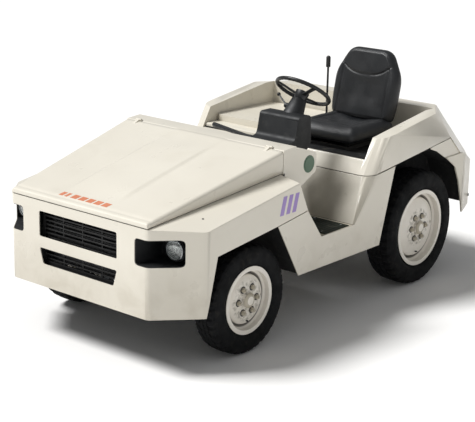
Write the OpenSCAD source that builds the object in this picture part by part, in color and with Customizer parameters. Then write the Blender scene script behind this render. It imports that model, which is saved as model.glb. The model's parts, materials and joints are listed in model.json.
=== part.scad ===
// Airport tow tractor: a low four-wheeled tug with a wedge nose, an offset driver's place between two side
// steps, a rear deck with high side walls and a pin coupler. Front faces -Y, the vehicle's left is +X and the
// origin lies on the ground under the middle of its box.

/* [Overall] */
// Length from the front face to the end of the tow coupler
overall_l = 3180; // [3140:10:3260]
// Width over the body sides
body_w = 1500; // [1460:10:1560]
// Thickness of the body sheets
sheet_t = 6; // [4:0.5:8]
// Seam between neighbouring body panels
panel_gap = 5; // [3:0.5:7]
// Ahead of the front axle to the front face
front_overhang = 644; // [630:2:680]
// Distance between the axles
wheelbase = 1706; // [1690:2:1730]
// How far the coupler stands out behind the rear face
coupler_reach = 116; // [104:2:140]

/* [Front body] */
// Width of the flat front face
front_face_w = 1066; // [1040:2:1090]
// Length of the slanted front corners along the body
corner_l = 235; // [215:1:255]
// Height of the front body's lower edge
front_bottom_z = 328; // [315:1:345]
// Height of the fender's top edge at the slanted corner
ledge_z = 812; // [800:1:825]
// Width of the upper air opening
grille_w = 614; // [560:2:660]
// Height of the upper air opening's top edge
grille_top_z = 772; // [760:1:785]
// Height of the upper air opening
grille_h = 149; // [130:1:165]
// Painted bar between the two air openings
grille_bar_h = 66; // [50:1:75]
// Height of the lower air opening
lower_grille_h = 94; // [80:1:105]
// Distance from the middle to the inner edge of a lamp opening
lamp_in_x = 440; // [425:1:455]
// Distance from the middle to the outer edge of a lamp opening
lamp_out_x = 671; // [655:1:685]
// Height of the lamp opening's lower edge
lamp_low_z = 620; // [605:1:635]
// Height of a lamp opening
lamp_h = 152; // [140:1:160]

/* [Hood and cowl] */
// Width of the hood at its rear end
hood_rear_w = 1248; // [1220:2:1270]
// Length of the hood
hood_l = 1020; // [990:2:1040]
// Height of the hood's top at its rear end
hood_rear_z = 1097; // [1080:1:1115]
// Height of the hood's rolled front lip
hood_lip_h = 42; // [36:1:48]
// Thickness of the hood shell
hood_t = 5; // [4:0.5:7]
// Length of the cowl's top behind the hood
cowl_l = 118; // [100:2:130]

/* [Step and rear body] */
// Height of the step's floor
step_z = 567; // [555:1:580]
// Height of the lower edge of the side panels
sill_z = 376; // [365:1:390]
// From the front axle to the front end of the step floor
step_front_v = 599; // [580:1:620]
// From the front axle to the rear end of the step floor
step_rear_v = 924; // [910:1:950]
// Height of the rear bulkhead's top edge
bulkhead_z = 827; // [815:1:840]
// Height of the deck
deck_z = 915; // [905:1:925]
// Height of the rear walls at their rear end
rear_top_z = 1128; // [1115:1:1140]
// Width of the rolled top of the rear walls
rear_wall_w = 90; // [80:1:100]
// Height of the rear bumper's top edge
bumper_top_z = 805; // [790:1:820]
// Height of the rear bumper's lower edge
bumper_low_z = 389; // [375:1:400]

/* [Wheels] */
// Radius of the front tyres
front_tyre_r = 316.5; // [310:0.5:322]
// Width of the front tyres
front_tyre_w = 165; // [155:1:172]
// Radius of the front rims over their flanges
front_rim_r = 198; // [192:0.5:204]
// Radius of the rear tyres
rear_tyre_r = 376; // [370:0.5:382]
// Width of the rear tyres
rear_tyre_w = 200; // [190:1:208]
// Radius of the rear rims over their flanges
rear_rim_r = 250; // [244:0.5:256]
// Thickness of rims and discs
rim_t = 5; // [4:0.5:7]
// Number of wheel nuts on each wheel
nut_count = 6; // [5:1:8]

/* [Driver's place] */
// Distance of the driver's place from the middle of the body
driver_x = 275; // [260:1:290]
// Width of the seat cushion
seat_w = 490; // [460:2:500]
// Length of the seat cushion
seat_l = 450; // [430:2:470]
// Height of the backrest
back_h = 435; // [420:1:450]
// Diameter of the steering wheel
steer_d = 368; // [350:2:390]
// Tilt of the steering wheel from level
steer_tilt = 35; // [30:1:40]

/* [Hidden] */

$fn = 48;
overrun = 12;
clear = 0.3;
pin_clear = 0.06;
hull_fn = 32;

// Main stations
half_w = body_w / 2;
front_y = -overall_l / 2;
axle_y = front_y + front_overhang;
rear_axle_y = axle_y + wheelbase;
rear_face_y = overall_l / 2 - coupler_reach;
corner_x = half_w - front_face_w / 2;

// Fender ledge: it rises towards the rear and falls towards the outside
ledge_rise_share = 0.15;
ledge_fall_share = 0.25;
band_end_v = 378;
seam_end_v = 460;
seam_end_z = 755;
seam_rise_share = 0.14;

// Wheel arches, as shares of the tyre's radius, from the axle and from the ground
front_arch_shares = [[-1.33, 0.72], [-1.283, 1.036], [-1.021, 2.079], [0.594, 2.265], [1.232, 1.182],
    [1.40, 0.72]];
rear_arch_shares = [[-1.364, 0.92], [-0.952, 2.319], [-0.872, 2.668], [0.12, 2.668], [0.13, 2.37],
    [0.325, 2.303], [0.66, 2.112], [0.928, 1.926], [1.07, 1.644], [1.253, 1.035], [1.28, 0.83]];

// Bulkhead and rear module
bulkhead_lean_share = 0.6;
gap_rise_share = 0.11;
rear_lean_share = 1.07;
rear_corner_x = 150;
rear_corner_l = 245;
bulkhead_round = 95;
bulkhead_foot_round = 12;
rear_front_z = 1044;
rear_slope_end_v = 1796;
well_rear_v = 1887;
bumper_ledge_l = 59;
tail_slope_v = 2150;
tail_low_z = 690;
bumper_inset = 8;
bumper_t = 10;

// Small shared sizes
nut_r = 15;
nut_h = 16;
stud_r = 7;

function behind(v) = axle_y + v;
function unit(v) = v / norm(v);
function left_of(v) = [-v[1], v[0]];
// Corner b of the outline a-b-c, moved inwards by d
function moved_corner(a, b, c, d) =
    let (m = left_of(unit(b - a)), n = left_of(unit(c - b)))
    b + d * (m + n) / (1 + m * n);
// A closed counter-clockwise outline moved inwards by d
function inset(p, d) = [for (i = [0:len(p) - 1])
    moved_corner(p[(i + len(p) - 1) % len(p)], p[i], p[(i + 1) % len(p)], d)];
// An outline with each corner cut by an arc that leaves it at distance r
function rounded(p, r, steps = 5) = [for (i = [0:len(p) - 1], k = [0:steps])
    let (a = p[(i + len(p) - 1) % len(p)], b = p[i], c = p[(i + 1) % len(p)],
        s = b + r * unit(a - b), e = b + r * unit(c - b), t = k / steps)
    (1 - t) * (1 - t) * s + 2 * t * (1 - t) * b + t * t * e];
// A line of points thickened by d to its left
function shifted(p, d) = [for (i = [0:len(p) - 1])
    i == 0 ? p[0] + d * left_of(unit(p[1] - p[0]))
    : i == len(p) - 1 ? p[i] + d * left_of(unit(p[i] - p[i - 1]))
    : moved_corner(p[i - 1], p[i], p[i + 1], d)];
function strip(p, d) = let (q = shifted(p, d)) concat(p, [for (i = [len(q) - 1:-1:0]) q[i]]);
function box_outline(x0, y0, x1, y1) = [[x0, y0], [x1, y0], [x1, y1], [x0, y1]];
function gap_line_z(v) = bulkhead_z + gap_rise_share * (v - bulkhead_top_v);
function seam_z(v) = seam_end_z + seam_rise_share * (v - seam_end_v);
function ledge_at(x, y) =
    ledge_z + ledge_rise_share * (y - front_y - corner_l) + ledge_fall_share * (half_w - x);
function rear_plane_y(z) = rear_face_y - bumper_ledge_l - rear_lean_share * (z - bumper_top_z);

bulkhead_top_v = step_rear_v + bulkhead_lean_share * (bulkhead_z - step_z);
hood_front_z = ledge_at(front_face_w / 2, front_y);
hood_rear_y = front_y + hood_l;
hood_side_rear_z = ledge_at(hood_rear_w / 2, hood_rear_y);
hood_rise_share = (hood_rear_z - hood_front_z - hood_lip_h) / (hood_l - hood_lip_h);
cowl_y = hood_rear_y + panel_gap;

module both_sides() {
    children();
    mirror([1, 0, 0]) children();
}

// An outline in the side view, given as [y, z], from x0 for w to the left
module side_slab(points, x0, w) {
    translate([x0, 0, 0]) rotate([90, 0, 90]) linear_extrude(height = w) polygon(points);
}

// An outline in the front view, given as [x, z], from y0 for l to the rear
module front_slab(points, y0, l) {
    translate([0, y0 + l, 0]) rotate([90, 0, 0]) linear_extrude(height = l) polygon(points);
}

// An outline in the top view, given as [x, y], from z0 for h upwards
module top_slab(points, z0, h) {
    translate([0, 0, z0]) linear_extrude(height = h) polygon(points);
}

// The space beyond a plane through p with the outward direction n
module beyond(p, n) {
    translate(p) rotate([0, acos(n[2] / norm(n)), atan2(n[1], n[0])])
        translate([-overall_l / 2, -overall_l / 2, 0]) cube([overall_l, overall_l, overall_l]);
}

// A rod or tube along X whose middle lies at the given place
module rod_x(at, r, l) { translate(at) rotate([0, 90, 0]) cylinder(h = l, r = r, center = true); }
module rod_y(at, r, l) { translate(at) rotate([90, 0, 0]) cylinder(h = l, r = r, center = true); }
module rod_z(at, r, l) { translate(at) cylinder(h = l, r = r, center = true); }

// A round bar between two points
module bar(a, b, r) {
    d = b - a;
    translate(a) rotate([0, acos(d[2] / norm(d)), atan2(d[1], d[0])]) cylinder(h = norm(d), r = r);
}

module block(x0, y0, z0, x1, y1, z1) {
    translate([x0, y0, z0]) cube([x1 - x0, y1 - y0, z1 - z0]);
}

// Chassis frame: two channel rails, cross members, spring hangers, outriggers and deck posts
rail_x = 340;
rail_w = 50;
rail_h = 110;
rail_t = 8;
member_w = 60;
member_h = 38;
member_stations = [1020, 1990];
nose_member_w = 1010;
nose_member_h = 100;
post_w = 44;
post_stations = [1210, 1850];
outrigger_v = 760;
tray_v = 1320;
tray_l = 340;
spring_half_l = 330;
spring_rise = 30;
spring_w = 56;
leaf_t = 9;
leaf_pad = 5;
leaf_step = 66;
leaf_count = 4;
beam_h = 70;
beam_w = 60;
rail_top = step_z - sheet_t - clear;
rail_low = rail_top - rail_h;
rail_mid_x = rail_x - rail_w / 2;
spring_seat_z = front_tyre_r + beam_h / 2 + clear;
spring_top_z = spring_seat_z + leaf_pad + leaf_count * leaf_t + spring_rise + clear;

module chassis_frame() {
    color("#2b2b2d") {
        both_sides() {
            frame_rail();
            for (end = [-1, 1])
                block(rail_x - rail_w, axle_y + end * spring_half_l - spring_w / 2, spring_top_z,
                    rail_x, axle_y + end * spring_half_l + spring_w / 2, rail_low + rail_t);
            block(rail_x - rail_t, behind(outrigger_v) - member_w / 2, rail_top - member_h,
                half_w - sheet_t - clear, behind(outrigger_v) + member_w / 2, rail_top);
            for (v = post_stations)
                block(rail_mid_x - post_w / 2, behind(v) - post_w / 2, rail_top - rail_t,
                    rail_mid_x + post_w / 2, behind(v) + post_w / 2, deck_z - sheet_t - clear);
        }
        for (v = member_stations)
            block(rail_t - rail_x, behind(v) - member_w / 2, rail_top - member_h,
                rail_x - rail_t, behind(v) + member_w / 2, rail_top - rail_t);
        block(-nose_member_w / 2, front_y + sheet_t + clear, rail_low - nose_member_h + clear,
            nose_member_w / 2, front_y + 1.5 * member_w, rail_low + clear);
        both_sides() block(rail_x - rail_w, front_y + member_w, rail_low - nose_member_h / 2,
            rail_x, front_y + 1.7 * member_w, rail_low + rail_h / 2);
        block(-rail_x, behind(tray_v) - tray_l / 2, rail_top - rail_t,
            rail_x, behind(tray_v) + tray_l / 2, rail_top);
    }
}

module frame_rail() {
    front_slab([[rail_x - rail_w, rail_low], [rail_x, rail_low], [rail_x, rail_top],
        [rail_x - rail_w, rail_top], [rail_x - rail_w, rail_top - rail_t],
        [rail_x - rail_t, rail_top - rail_t], [rail_x - rail_t, rail_low + rail_t],
        [rail_x - rail_w, rail_low + rail_t]],
        front_y + member_w, rear_face_y - bumper_t - clear - front_y - member_w);
}

// Front axle: a forged beam with an eye for each kingpin
kingpin_in = 230;
kingpin_x = half_w - kingpin_in;
kingpin_r = 15;
eye_r = 32;
eye_h = 90;
beam_web = 20;

module front_axle() {
    color("#333336") difference() {
        union() {
            translate([0, 0, front_tyre_r]) front_slab([[-kingpin_x, -beam_h / 4], [-rail_x, -beam_h / 2],
                [rail_x, -beam_h / 2], [kingpin_x, -beam_h / 4], [kingpin_x, beam_h / 4],
                [rail_x, beam_h / 2], [-rail_x, beam_h / 2], [-kingpin_x, beam_h / 4]],
                axle_y - beam_w / 2, beam_w);
            both_sides() rod_z([kingpin_x, axle_y, front_tyre_r], eye_r, eye_h);
        }
        both_sides() rod_z([kingpin_x, axle_y, front_tyre_r], kingpin_r + pin_clear, eye_h + overrun);
        for (side = [-1, 1])
            block(-rail_x + rail_w, axle_y + side * (beam_w / 2 + beam_web / 2) - beam_web,
                front_tyre_r - beam_h / 4, rail_x - rail_w,
                axle_y + side * (beam_w / 2 + beam_web / 2) + beam_web, front_tyre_r + beam_h / 4);
    }
}

// Leaf springs: four leaves a side, each shorter than the one above it, held by a clamp
function leaf_l(i) = spring_half_l - i * leaf_step;
function leaf_low(y, i) = spring_seat_z + leaf_pad + (leaf_count - 1 - i) * leaf_t
    + spring_rise * y * y / spring_half_l / spring_half_l;
function leaf_steps() = [for (i = [0:leaf_count - 1]) for (at = [i, i + 1])
    at < leaf_count ? [leaf_l(at), leaf_low(leaf_l(at), i)] : [0, leaf_low(0, i)]];
module leaf_springs() {
    steps = leaf_steps();
    last = len(steps) - 1;
    color("#3a3a3d") both_sides() {
        translate([0, axle_y, 0]) side_slab(concat(
            [for (k = [0:last]) [-steps[k][0], steps[k][1]]],
            [for (k = [last - 1:-1:0]) steps[k]],
            [for (k = [4:-1:-4]) [spring_half_l * k / 4, leaf_low(spring_half_l * k / 4, 0) + leaf_t]]),
            rail_mid_x - spring_w / 2, spring_w);
        block(rail_mid_x - spring_w / 2 - leaf_t, axle_y - spring_w / 2, spring_seat_z,
            rail_mid_x + spring_w / 2 + leaf_t, axle_y + spring_w / 2,
            spring_seat_z + (leaf_count + 1) * leaf_t + leaf_pad);
    }
}

// Rear axle: a banjo housing with a tube to each hub
axle_tube_r = 55;
axle_tube_in = 320;
axle_tube_end_x = half_w - axle_tube_in;
diff_r = 132;
diff_w = 190;
stub_r = 30;
stub_end_x = 655;
axle_pad_l = 110;

module rear_axle() {
    color("#333336") translate([0, rear_axle_y, rear_tyre_r]) {
        rotate([0, 90, 0]) rotate_extrude() polygon([[0, -diff_w], [axle_tube_r, -diff_w],
            [diff_r * 0.8, -diff_w / 2], [diff_r, -diff_w / 4], [diff_r, diff_w / 4],
            [diff_r * 0.8, diff_w / 2], [axle_tube_r, diff_w], [0, diff_w]]);
        rod_x([0, 0, 0], axle_tube_r, 2 * axle_tube_end_x);
        rod_x([0, 0, 0], stub_r, 2 * stub_end_x);
        both_sides() block(rail_x - rail_w, -axle_pad_l / 2, 0, rail_x, axle_pad_l / 2,
            rail_low - clear - rear_tyre_r);
        translate([0, -diff_r / 2, 0]) rod_y([0, -diff_r / 2, 0], axle_tube_r, diff_r);
    }
}

// Engine: block, head, rocker cover, oil pan, pulleys, air cleaner and bell housing
engine_v = -400;
engine_l = 560;
engine_w = 300;
block_low_z = 400;
block_h = 240;
head_h = 90;
cover_h = 70;
pan_h = 34;
crank_z = 450;
pump_z = 590;
bell_r = 158;
bell_l = 150;
cleaner_r = 75;
cleaner_l = 240;
pulley_r = 62;
pulley_w = 34;
mount_w = 46;

module engine() {
    front = behind(engine_v);
    rear = front + engine_l;
    w = engine_w / 2;
    top = block_low_z + block_h;
    color("#4c5257") {
        front_slab([[-w * 0.7, block_low_z], [w * 0.7, block_low_z], [w, block_low_z + block_h * 0.4],
            [w * 0.85, top], [-w * 0.85, top], [-w, block_low_z + block_h * 0.4]], front, engine_l);
        block(-w * 0.6, front + cover_h / 2, block_low_z - pan_h, w * 0.6, rear - cover_h / 2, block_low_z);
        block(-w * 0.7, front + pulley_w / 2, top, w * 0.7, rear - pulley_w / 2, top + head_h);
        front_slab(rounded([[-w * 0.45, top + head_h], [w * 0.45, top + head_h],
            [w * 0.45, top + head_h + cover_h], [-w * 0.45, top + head_h + cover_h]], cover_h / 3),
            front + pulley_w, engine_l - 2 * pulley_w);
        rod_y([0, rear + bell_l / 2, crank_z], bell_r, bell_l);
        rod_y([0, front - pulley_w / 2, crank_z], pulley_r, pulley_w);
        rod_y([0, front - pulley_w / 2, crank_z], pulley_r / 2, pulley_w + pulley_r / 2);
        rod_y([w * 0.85, front + engine_l / 2, top + head_h / 2], cleaner_r * 0.55, cleaner_l);
        rod_y([w * 0.6, front + engine_l / 2, top + head_h + cleaner_r], cleaner_r, cleaner_l);
        for (i = [0:3]) let (y = front + engine_l * (i + 0.6) / 4.4)
            bar([-w * 0.6, y, top + head_h / 2], [-w * 1.12, y, top + head_h / 4], cover_h / 4);
        rod_y([-w * 1.12, front + engine_l / 2, top + head_h / 4], cover_h / 3, engine_l * 0.8);
        difference() {
            rod_y([0, front - pulley_w / 2, pump_z], pulley_r / 2, pulley_w);
            rod_y([0, front - pulley_w / 2, pump_z], fan_shaft_r + pin_clear, pulley_w + overrun);
        }
        both_sides() block(w * 0.6, front + engine_l * 0.35, rail_top + clear, rail_x - rail_t,
            front + engine_l * 0.35 + mount_w, rail_top + mount_w / 2);
    }
}

// Radiator: finned core between two tanks, with a cap and a fan shroud ring
radiator_v = -560;
radiator_t = 60;
radiator_w = 560;
radiator_low_z = 470;
radiator_h = 340;
tank_h = 46;
fin_gap = 16;
shroud_l = 50;

module radiator() {
    y = behind(radiator_v);
    w = radiator_w / 2;
    top = radiator_low_z + radiator_h;
    color("#26282b") {
        difference() {
            block(-w, y, radiator_low_z, w, y + radiator_t, top);
            for (z = [radiator_low_z + tank_h:fin_gap:top - tank_h - fin_gap])
                block(-w + tank_h / 2, y - overrun, z, w - tank_h / 2, y + radiator_t / 4, z + fin_gap / 2);
        }
        rod_z([0, y + radiator_t / 2, top], tank_h / 2, tank_h);
        difference() {
            rod_y([0, y + radiator_t + shroud_l / 2, pump_z], fan_r + shroud_l / 2, shroud_l);
            rod_y([0, y + radiator_t + shroud_l / 2, pump_z], fan_r + shroud_l / 3, shroud_l + overrun);
        }
        both_sides() block(w - tank_h, y, rail_top + clear, rail_x - rail_t, y + radiator_t,
            rail_top + tank_h / 2);
    }
}

// Engine fan on the water pump's shaft
fan_r = 180;
fan_hub_r = 38;
fan_hub_l = 30;
fan_shaft_r = 12;
fan_v = -470;
blade_w = 70;
blade_t = 4;
blade_pitch = 28;
blade_count = 6;

module fan() {
    color("#d9dadb") {
        rod_y([0, behind(fan_v), pump_z], fan_hub_r, fan_hub_l);
        rod_y([0, (behind(fan_v) + behind(engine_v)) / 2, pump_z], fan_shaft_r,
            behind(engine_v) - behind(fan_v));
        translate([0, behind(fan_v), pump_z]) for (i = [0:blade_count - 1])
            rotate([0, i * 360 / blade_count, 0]) translate([fan_hub_r * 0.8, 0, 0])
                rotate([blade_pitch, 0, 0]) translate([0, -blade_t / 2, -blade_w / 2])
                    cube([fan_r - fan_hub_r * 0.8, blade_t, blade_w]);
    }
}

// Gearbox behind the bell housing, with ribs and an output flange
gearbox_l = 400;
gearbox_w = 220;
gearbox_h = 220;
flange_r = 52;
flange_t = 14;
gearbox_v = engine_v + engine_l + bell_l;

module gearbox() {
    y = behind(gearbox_v) + clear;
    low = rear_tyre_r - gearbox_h * 0.4;
    color("#55595d") {
        front_slab(rounded([[-gearbox_w / 2, low], [gearbox_w / 2, low],
            [gearbox_w / 2, low + gearbox_h * 0.7], [gearbox_w * 0.3, low + gearbox_h],
            [-gearbox_w * 0.3, low + gearbox_h], [-gearbox_w / 2, low + gearbox_h * 0.7]], gearbox_h / 9),
            y, gearbox_l);
        for (i = [1:4])
            block(-gearbox_w / 2 - flange_t, y + gearbox_l * i / 5, low + gearbox_h * 0.2,
                gearbox_w / 2 + flange_t, y + gearbox_l * i / 5 + flange_t, low + gearbox_h * 0.6);
        rod_y([0, y + gearbox_l + flange_t / 2, rear_tyre_r], flange_r, flange_t);
        both_sides() block(gearbox_w / 2 - flange_t, y + gearbox_l * 0.7, rail_low - clear - flange_t,
            rail_x, y + gearbox_l * 0.7 + mount_w, rail_low - clear);
    }
}

// Propeller shaft between the gearbox and the rear axle, with a yoke at each end
prop_r = 32;
yoke_l = 90;

module propeller_shaft() {
    y0 = behind(gearbox_v) + clear + gearbox_l + flange_t + clear;
    y1 = rear_axle_y - 1.5 * diff_r - clear;
    color("#2c2d30") {
        for (y = [y0 + flange_t / 2, y1 - flange_t / 2]) rod_y([0, y, rear_tyre_r], flange_r, flange_t);
        rod_y([0, (y0 + y1) / 2, rear_tyre_r], prop_r, y1 - y0 - yoke_l);
        for (end = [[y0, 1], [y1, -1]]) {
            for (side = [-1, 1])
                block(side * flange_r * 0.7 - flange_t / 2, min(end[0], end[0] + end[1] * yoke_l),
                    rear_tyre_r - flange_t, side * flange_r * 0.7 + flange_t / 2,
                    max(end[0], end[0] + end[1] * yoke_l), rear_tyre_r + flange_t);
            rod_x([0, end[0] + end[1] * (yoke_l - flange_t), rear_tyre_r], flange_t * 0.8,
                2 * flange_r * 0.7);
            rod_y([0, end[0] + end[1] * (yoke_l - flange_t), rear_tyre_r], prop_r, 2 * flange_t);
        }
    }
}

// Battery with its terminals, on the frame's tray
battery_w = 175;
battery_l = 260;
battery_h = 220;
terminal_r = 9;
module battery() {
    x = -rail_x + rail_w + overrun;
    y = behind(tray_v) - battery_l / 2;
    color("#1d1e20") {
        block(x, y, rail_top + clear, x + battery_w, y + battery_l, rail_top + clear + battery_h * 0.85);
        block(x - blade_t, y - blade_t, rail_top + clear + battery_h * 0.85, x + battery_w + blade_t,
            y + battery_l + blade_t, rail_top + clear + battery_h);
        for (end = [0.15, 0.85])
            rod_z([x + battery_w * 0.25, y + battery_l * end, rail_top + clear + battery_h],
                terminal_r, 4 * terminal_r);
    }
}

// Fuel tank beside the battery
tank_w = 260;
tank_l = 320;
tank_body_h = 250;
filler_r = 28;
module fuel_tank() {
    x = rail_x - rail_w;
    y = behind(tray_v) - tank_l / 2;
    color("#36393c") {
        translate([x - tank_w, y, rail_top + clear]) rotate([90, 0, 90]) linear_extrude(height = tank_w)
            polygon(rounded(box_outline(0, 0, tank_l, tank_body_h), filler_r));
        rod_z([x - tank_w / 2, y + tank_l / 2, rail_top + clear + tank_body_h], filler_r, 2 * filler_r);
    }
}

// Exhaust: from the manifold down past the gearbox to the silencer and the rear
pipe_r = 22;
pipe_x = 205;
pipe_z = 492;
silencer_r = 55;
silencer_v = 1080;
silencer_l = 360;
module exhaust() {
    start = [-engine_w / 2 * 1.12 - cover_h / 3 - pipe_r, behind(engine_v) + engine_l * 0.9,
        block_low_z + block_h + head_h / 4];
    drop = [-pipe_x, behind(gearbox_v) - bell_l * 0.4, pipe_z];
    color("#6e6a66") {
        route = [start, [start[0], drop[1], start[2]], [start[0], drop[1], pipe_z],
            [-pipe_x, behind(gearbox_v) + bell_l, pipe_z],
            [-pipe_x, rear_face_y - bumper_t - 3 * pipe_r, pipe_z]];
        for (i = [0:len(route) - 2]) {
            bar(route[i], route[i + 1], pipe_r);
            translate(route[i + 1]) sphere(r = pipe_r * 1.08);
        }
        rod_y([-pipe_x, behind(silencer_v) + silencer_l / 2, pipe_z], silencer_r, silencer_l);
    }
}

// Front body: wedge nose with slanted corners, fenders and their ledge beside the hood
front_round = 22;
bay_rim = 24;
opening_round = 26;
lamp_depth = 215;
lower_opening_low_share = 0.91;
inner_lip = 14;

function front_plan(d) = rounded(inset([[-half_w + corner_x, front_y], [half_w - corner_x, front_y],
    [half_w, front_y + corner_l], [half_w, behind(wheelbase)], [-half_w, behind(wheelbase)],
    [-half_w, front_y + corner_l]], d), front_round);
function front_side() =
    let (run = (seam_end_v - band_end_v) / (ledge_at(half_w, behind(band_end_v)) - seam_end_z))
    [[behind(seam_end_v), seam_end_z],
    [behind(band_end_v) - run * half_w * ledge_fall_share, ledge_at(0, behind(band_end_v))],
    [front_y - overrun, ledge_at(0, behind(band_end_v))], [front_y - overrun, front_bottom_z],
    [behind(front_arch_shares[3][0] * front_tyre_r), front_bottom_z],
    [behind(front_arch_shares[3][0] * front_tyre_r), front_arch_shares[3][1] * front_tyre_r]];
function arch(shares, r, y) = [for (p = shares) [y + p[0] * r, p[1] * r]];
function bay_plan(d) = [[-front_face_w / 2 + d, front_y + d], [front_face_w / 2 - d, front_y + d],
    [hood_rear_w / 2 - d, behind(band_end_v) + half_w], [-hood_rear_w / 2 + d, behind(band_end_v) + half_w]];

module front_form(d) {
    difference() {
        top_slab(front_plan(d), 0, rear_top_z + half_w);
        for (side = [-1, 1])
            beyond([0, front_y + corner_l, ledge_z + ledge_fall_share * half_w - d],
                [side * ledge_fall_share, -ledge_rise_share, 1]);
    }
}

module lamp_opening(d) {
    front_slab(rounded(inset(box_outline(lamp_in_x, lamp_low_z, lamp_out_x, lamp_low_z + lamp_h), d),
        opening_round), front_y - overrun, lamp_depth + overrun);
}

module front_shell() {
    low = grille_top_z - grille_h - grille_bar_h;
    color("#e8dcb4") difference() {
        intersection() {
            front_form(0);
            side_slab(front_side(), -half_w, body_w);
        }
        difference() {
            front_form(sheet_t);
            block(-half_w, front_y, ledge_z - inner_lip, half_w, front_y + bay_rim, rear_top_z);
        }
        top_slab(bay_plan(bay_rim), grille_top_z + inner_lip, rear_top_z);
        difference() {
            top_slab(bay_plan(0), grille_top_z, rear_top_z);
            below_seam(0);
        }
        side_slab(arch(front_arch_shares, front_tyre_r, axle_y), -half_w - overrun, body_w + 2 * overrun);
        front_slab(rounded(box_outline(-grille_w / 2, grille_top_z - grille_h, grille_w / 2, grille_top_z),
            opening_round / 2), front_y - overrun, corner_l / 2);
        front_slab(rounded([[-grille_w / 2 * lower_opening_low_share, low - lower_grille_h],
            [grille_w / 2 * lower_opening_low_share, low - lower_grille_h], [grille_w / 2, low],
            [-grille_w / 2, low]], opening_round / 2), front_y - overrun, corner_l / 2);
        both_sides() lamp_opening(0);
    }
}

// Air screen behind the two openings: a frame with level bars
screen_rise = 30;
screen_pitch = 25;
screen_bar = 9;
screen_t = 14;
screen_rim = 10;
module grille_screen() {
    y = front_y + sheet_t + screen_rise;
    low = grille_top_z - grille_h - grille_bar_h - lower_grille_h;
    color("#1a1a1b") {
        difference() {
            block(-grille_w / 2 - screen_rim, y, low - screen_rim, grille_w / 2 + screen_rim,
                y + screen_t, grille_top_z + screen_rim);
            block(-grille_w / 2 + screen_rim, y - overrun, low + screen_rim, grille_w / 2 - screen_rim,
                y + screen_t + overrun, grille_top_z - screen_rim);
        }
        for (z = [low + screen_pitch:screen_pitch:grille_top_z - screen_bar])
            block(-grille_w / 2, y + screen_t / 4, z - screen_bar / 2, grille_w / 2,
                y + screen_t * 0.75, z + screen_bar / 2);
        for (x = [-grille_w / 4, 0, grille_w / 4])
            block(x - screen_bar / 2, y + screen_t / 2, low, x + screen_bar / 2, y + screen_t, grille_top_z);
        both_sides() block(grille_w / 2 - screen_rim, front_y + sheet_t + clear, low,
            grille_w / 2 + screen_rim, y + screen_t / 2, grille_top_z - grille_h);
    }
}

// Lamps: a bucket behind each opening and a round lamp in it
bucket_t = 4;
lamp_r = 62;
lamp_x = 590;
lamp_l = 55;
lamp_rise = 4;
module lamp_housings() {
    color("#151516") both_sides() {
        difference() {
            intersection() {
                lamp_opening(clear);
                front_form(bucket_t);
            }
            translate([0, -bucket_t, 0]) lamp_opening(bucket_t);
        }
        difference() {
            rod_y([lamp_x, front_y + lamp_depth - lamp_l / 2, lamp_low_z + lamp_h / 2 + lamp_rise],
                lamp_r + bucket_t, lamp_l);
            rod_y([lamp_x, front_y + lamp_depth - lamp_l / 2 - bucket_t, lamp_low_z + lamp_h / 2 + lamp_rise],
                lamp_r, lamp_l);
        }
    }
}

module lamp_lenses() {
    z = lamp_low_z + lamp_h / 2 + lamp_rise;
    y = front_y + lamp_depth - lamp_l;
    color("#e6e8e6") both_sides() {
        rod_y([lamp_x, y + lamp_l / 4, z], lamp_r - clear, lamp_l / 2);
        intersection() {
            translate([lamp_x, y + lamp_r, z]) sphere(r = lamp_r * 1.25);
            rod_y([lamp_x, y - lamp_l / 2, z], lamp_r - clear, lamp_l + clear);
        }
    }
}

// Wheel houses: roof and inner wall around each wheel
liner_t = 3;
front_liner_x = 372;
rear_liner_in = 250;
rear_liner_x = half_w - rear_liner_in;
liner_low_z = 462;
front_liner_shares = [[-1.36, 1.05], [-1.08, 2.12], [0.66, 2.32], [1.29, 1.2]];
rear_liner_shares = [[-1.436, 1.24], [-1.05, 2.353], [0.266, 2.366], [0.41, 2.32], [0.77, 2.127],
    [1.05, 1.954], [1.17, 1.70], [1.22, 1.24]];
module wheelhouses() {
    color("#232324") both_sides() {
        intersection() {
            wheel_liner(arch(front_liner_shares, front_tyre_r, axle_y), front_liner_x);
            top_slab(front_plan(sheet_t + clear), 0, rear_top_z);
        }
        wheel_liner(arch(rear_liner_shares, rear_tyre_r, rear_axle_y), rear_liner_x);
    }
}

module wheel_liner(p, x) {
    back = [for (i = [len(p) - 1:-1:0]) p[i]];
    side_slab(strip(back, -liner_t), x, half_w - bumper_inset - sheet_t - clear - x);
    side_slab([for (q = shifted(back, -liner_t)) [q[0], max(q[1], liner_low_z)]], x - liner_t, liner_t);
}

// Lower body: side panels, the slanted rear bulkhead with its rounded corners and the rear quarters
sill_w = 34;
function bulkhead_plan(v, round, d, lean_d) = rounded([[-half_w + d, behind(v) + lean_d],
    [half_w - d, behind(v) + lean_d], [half_w - d, rear_axle_y], [-half_w + d, rear_axle_y]], round);

module bulkhead_form(d) {
    back = d * norm([1, bulkhead_lean_share]);
    top_round = bulkhead_round - d;
    rise = rear_top_z - bulkhead_z;
    $fn = hull_fn;
    hull() {
        top_slab(bulkhead_plan(step_rear_v, bulkhead_foot_round, d, back), step_z, clear);
        top_slab(bulkhead_plan(bulkhead_top_v, top_round, d, back), bulkhead_z, clear);
    }
    hull() {
        top_slab(bulkhead_plan(bulkhead_top_v, top_round, d, back), bulkhead_z, clear);
        top_slab(bulkhead_plan(bulkhead_top_v + bulkhead_lean_share * rise, top_round, d, back),
            rear_top_z, clear);
    }
}

module above_gap(lift) {
    beyond([0, behind(bulkhead_top_v), bulkhead_z + lift], [0, -gap_rise_share, 1]);
}

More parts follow.
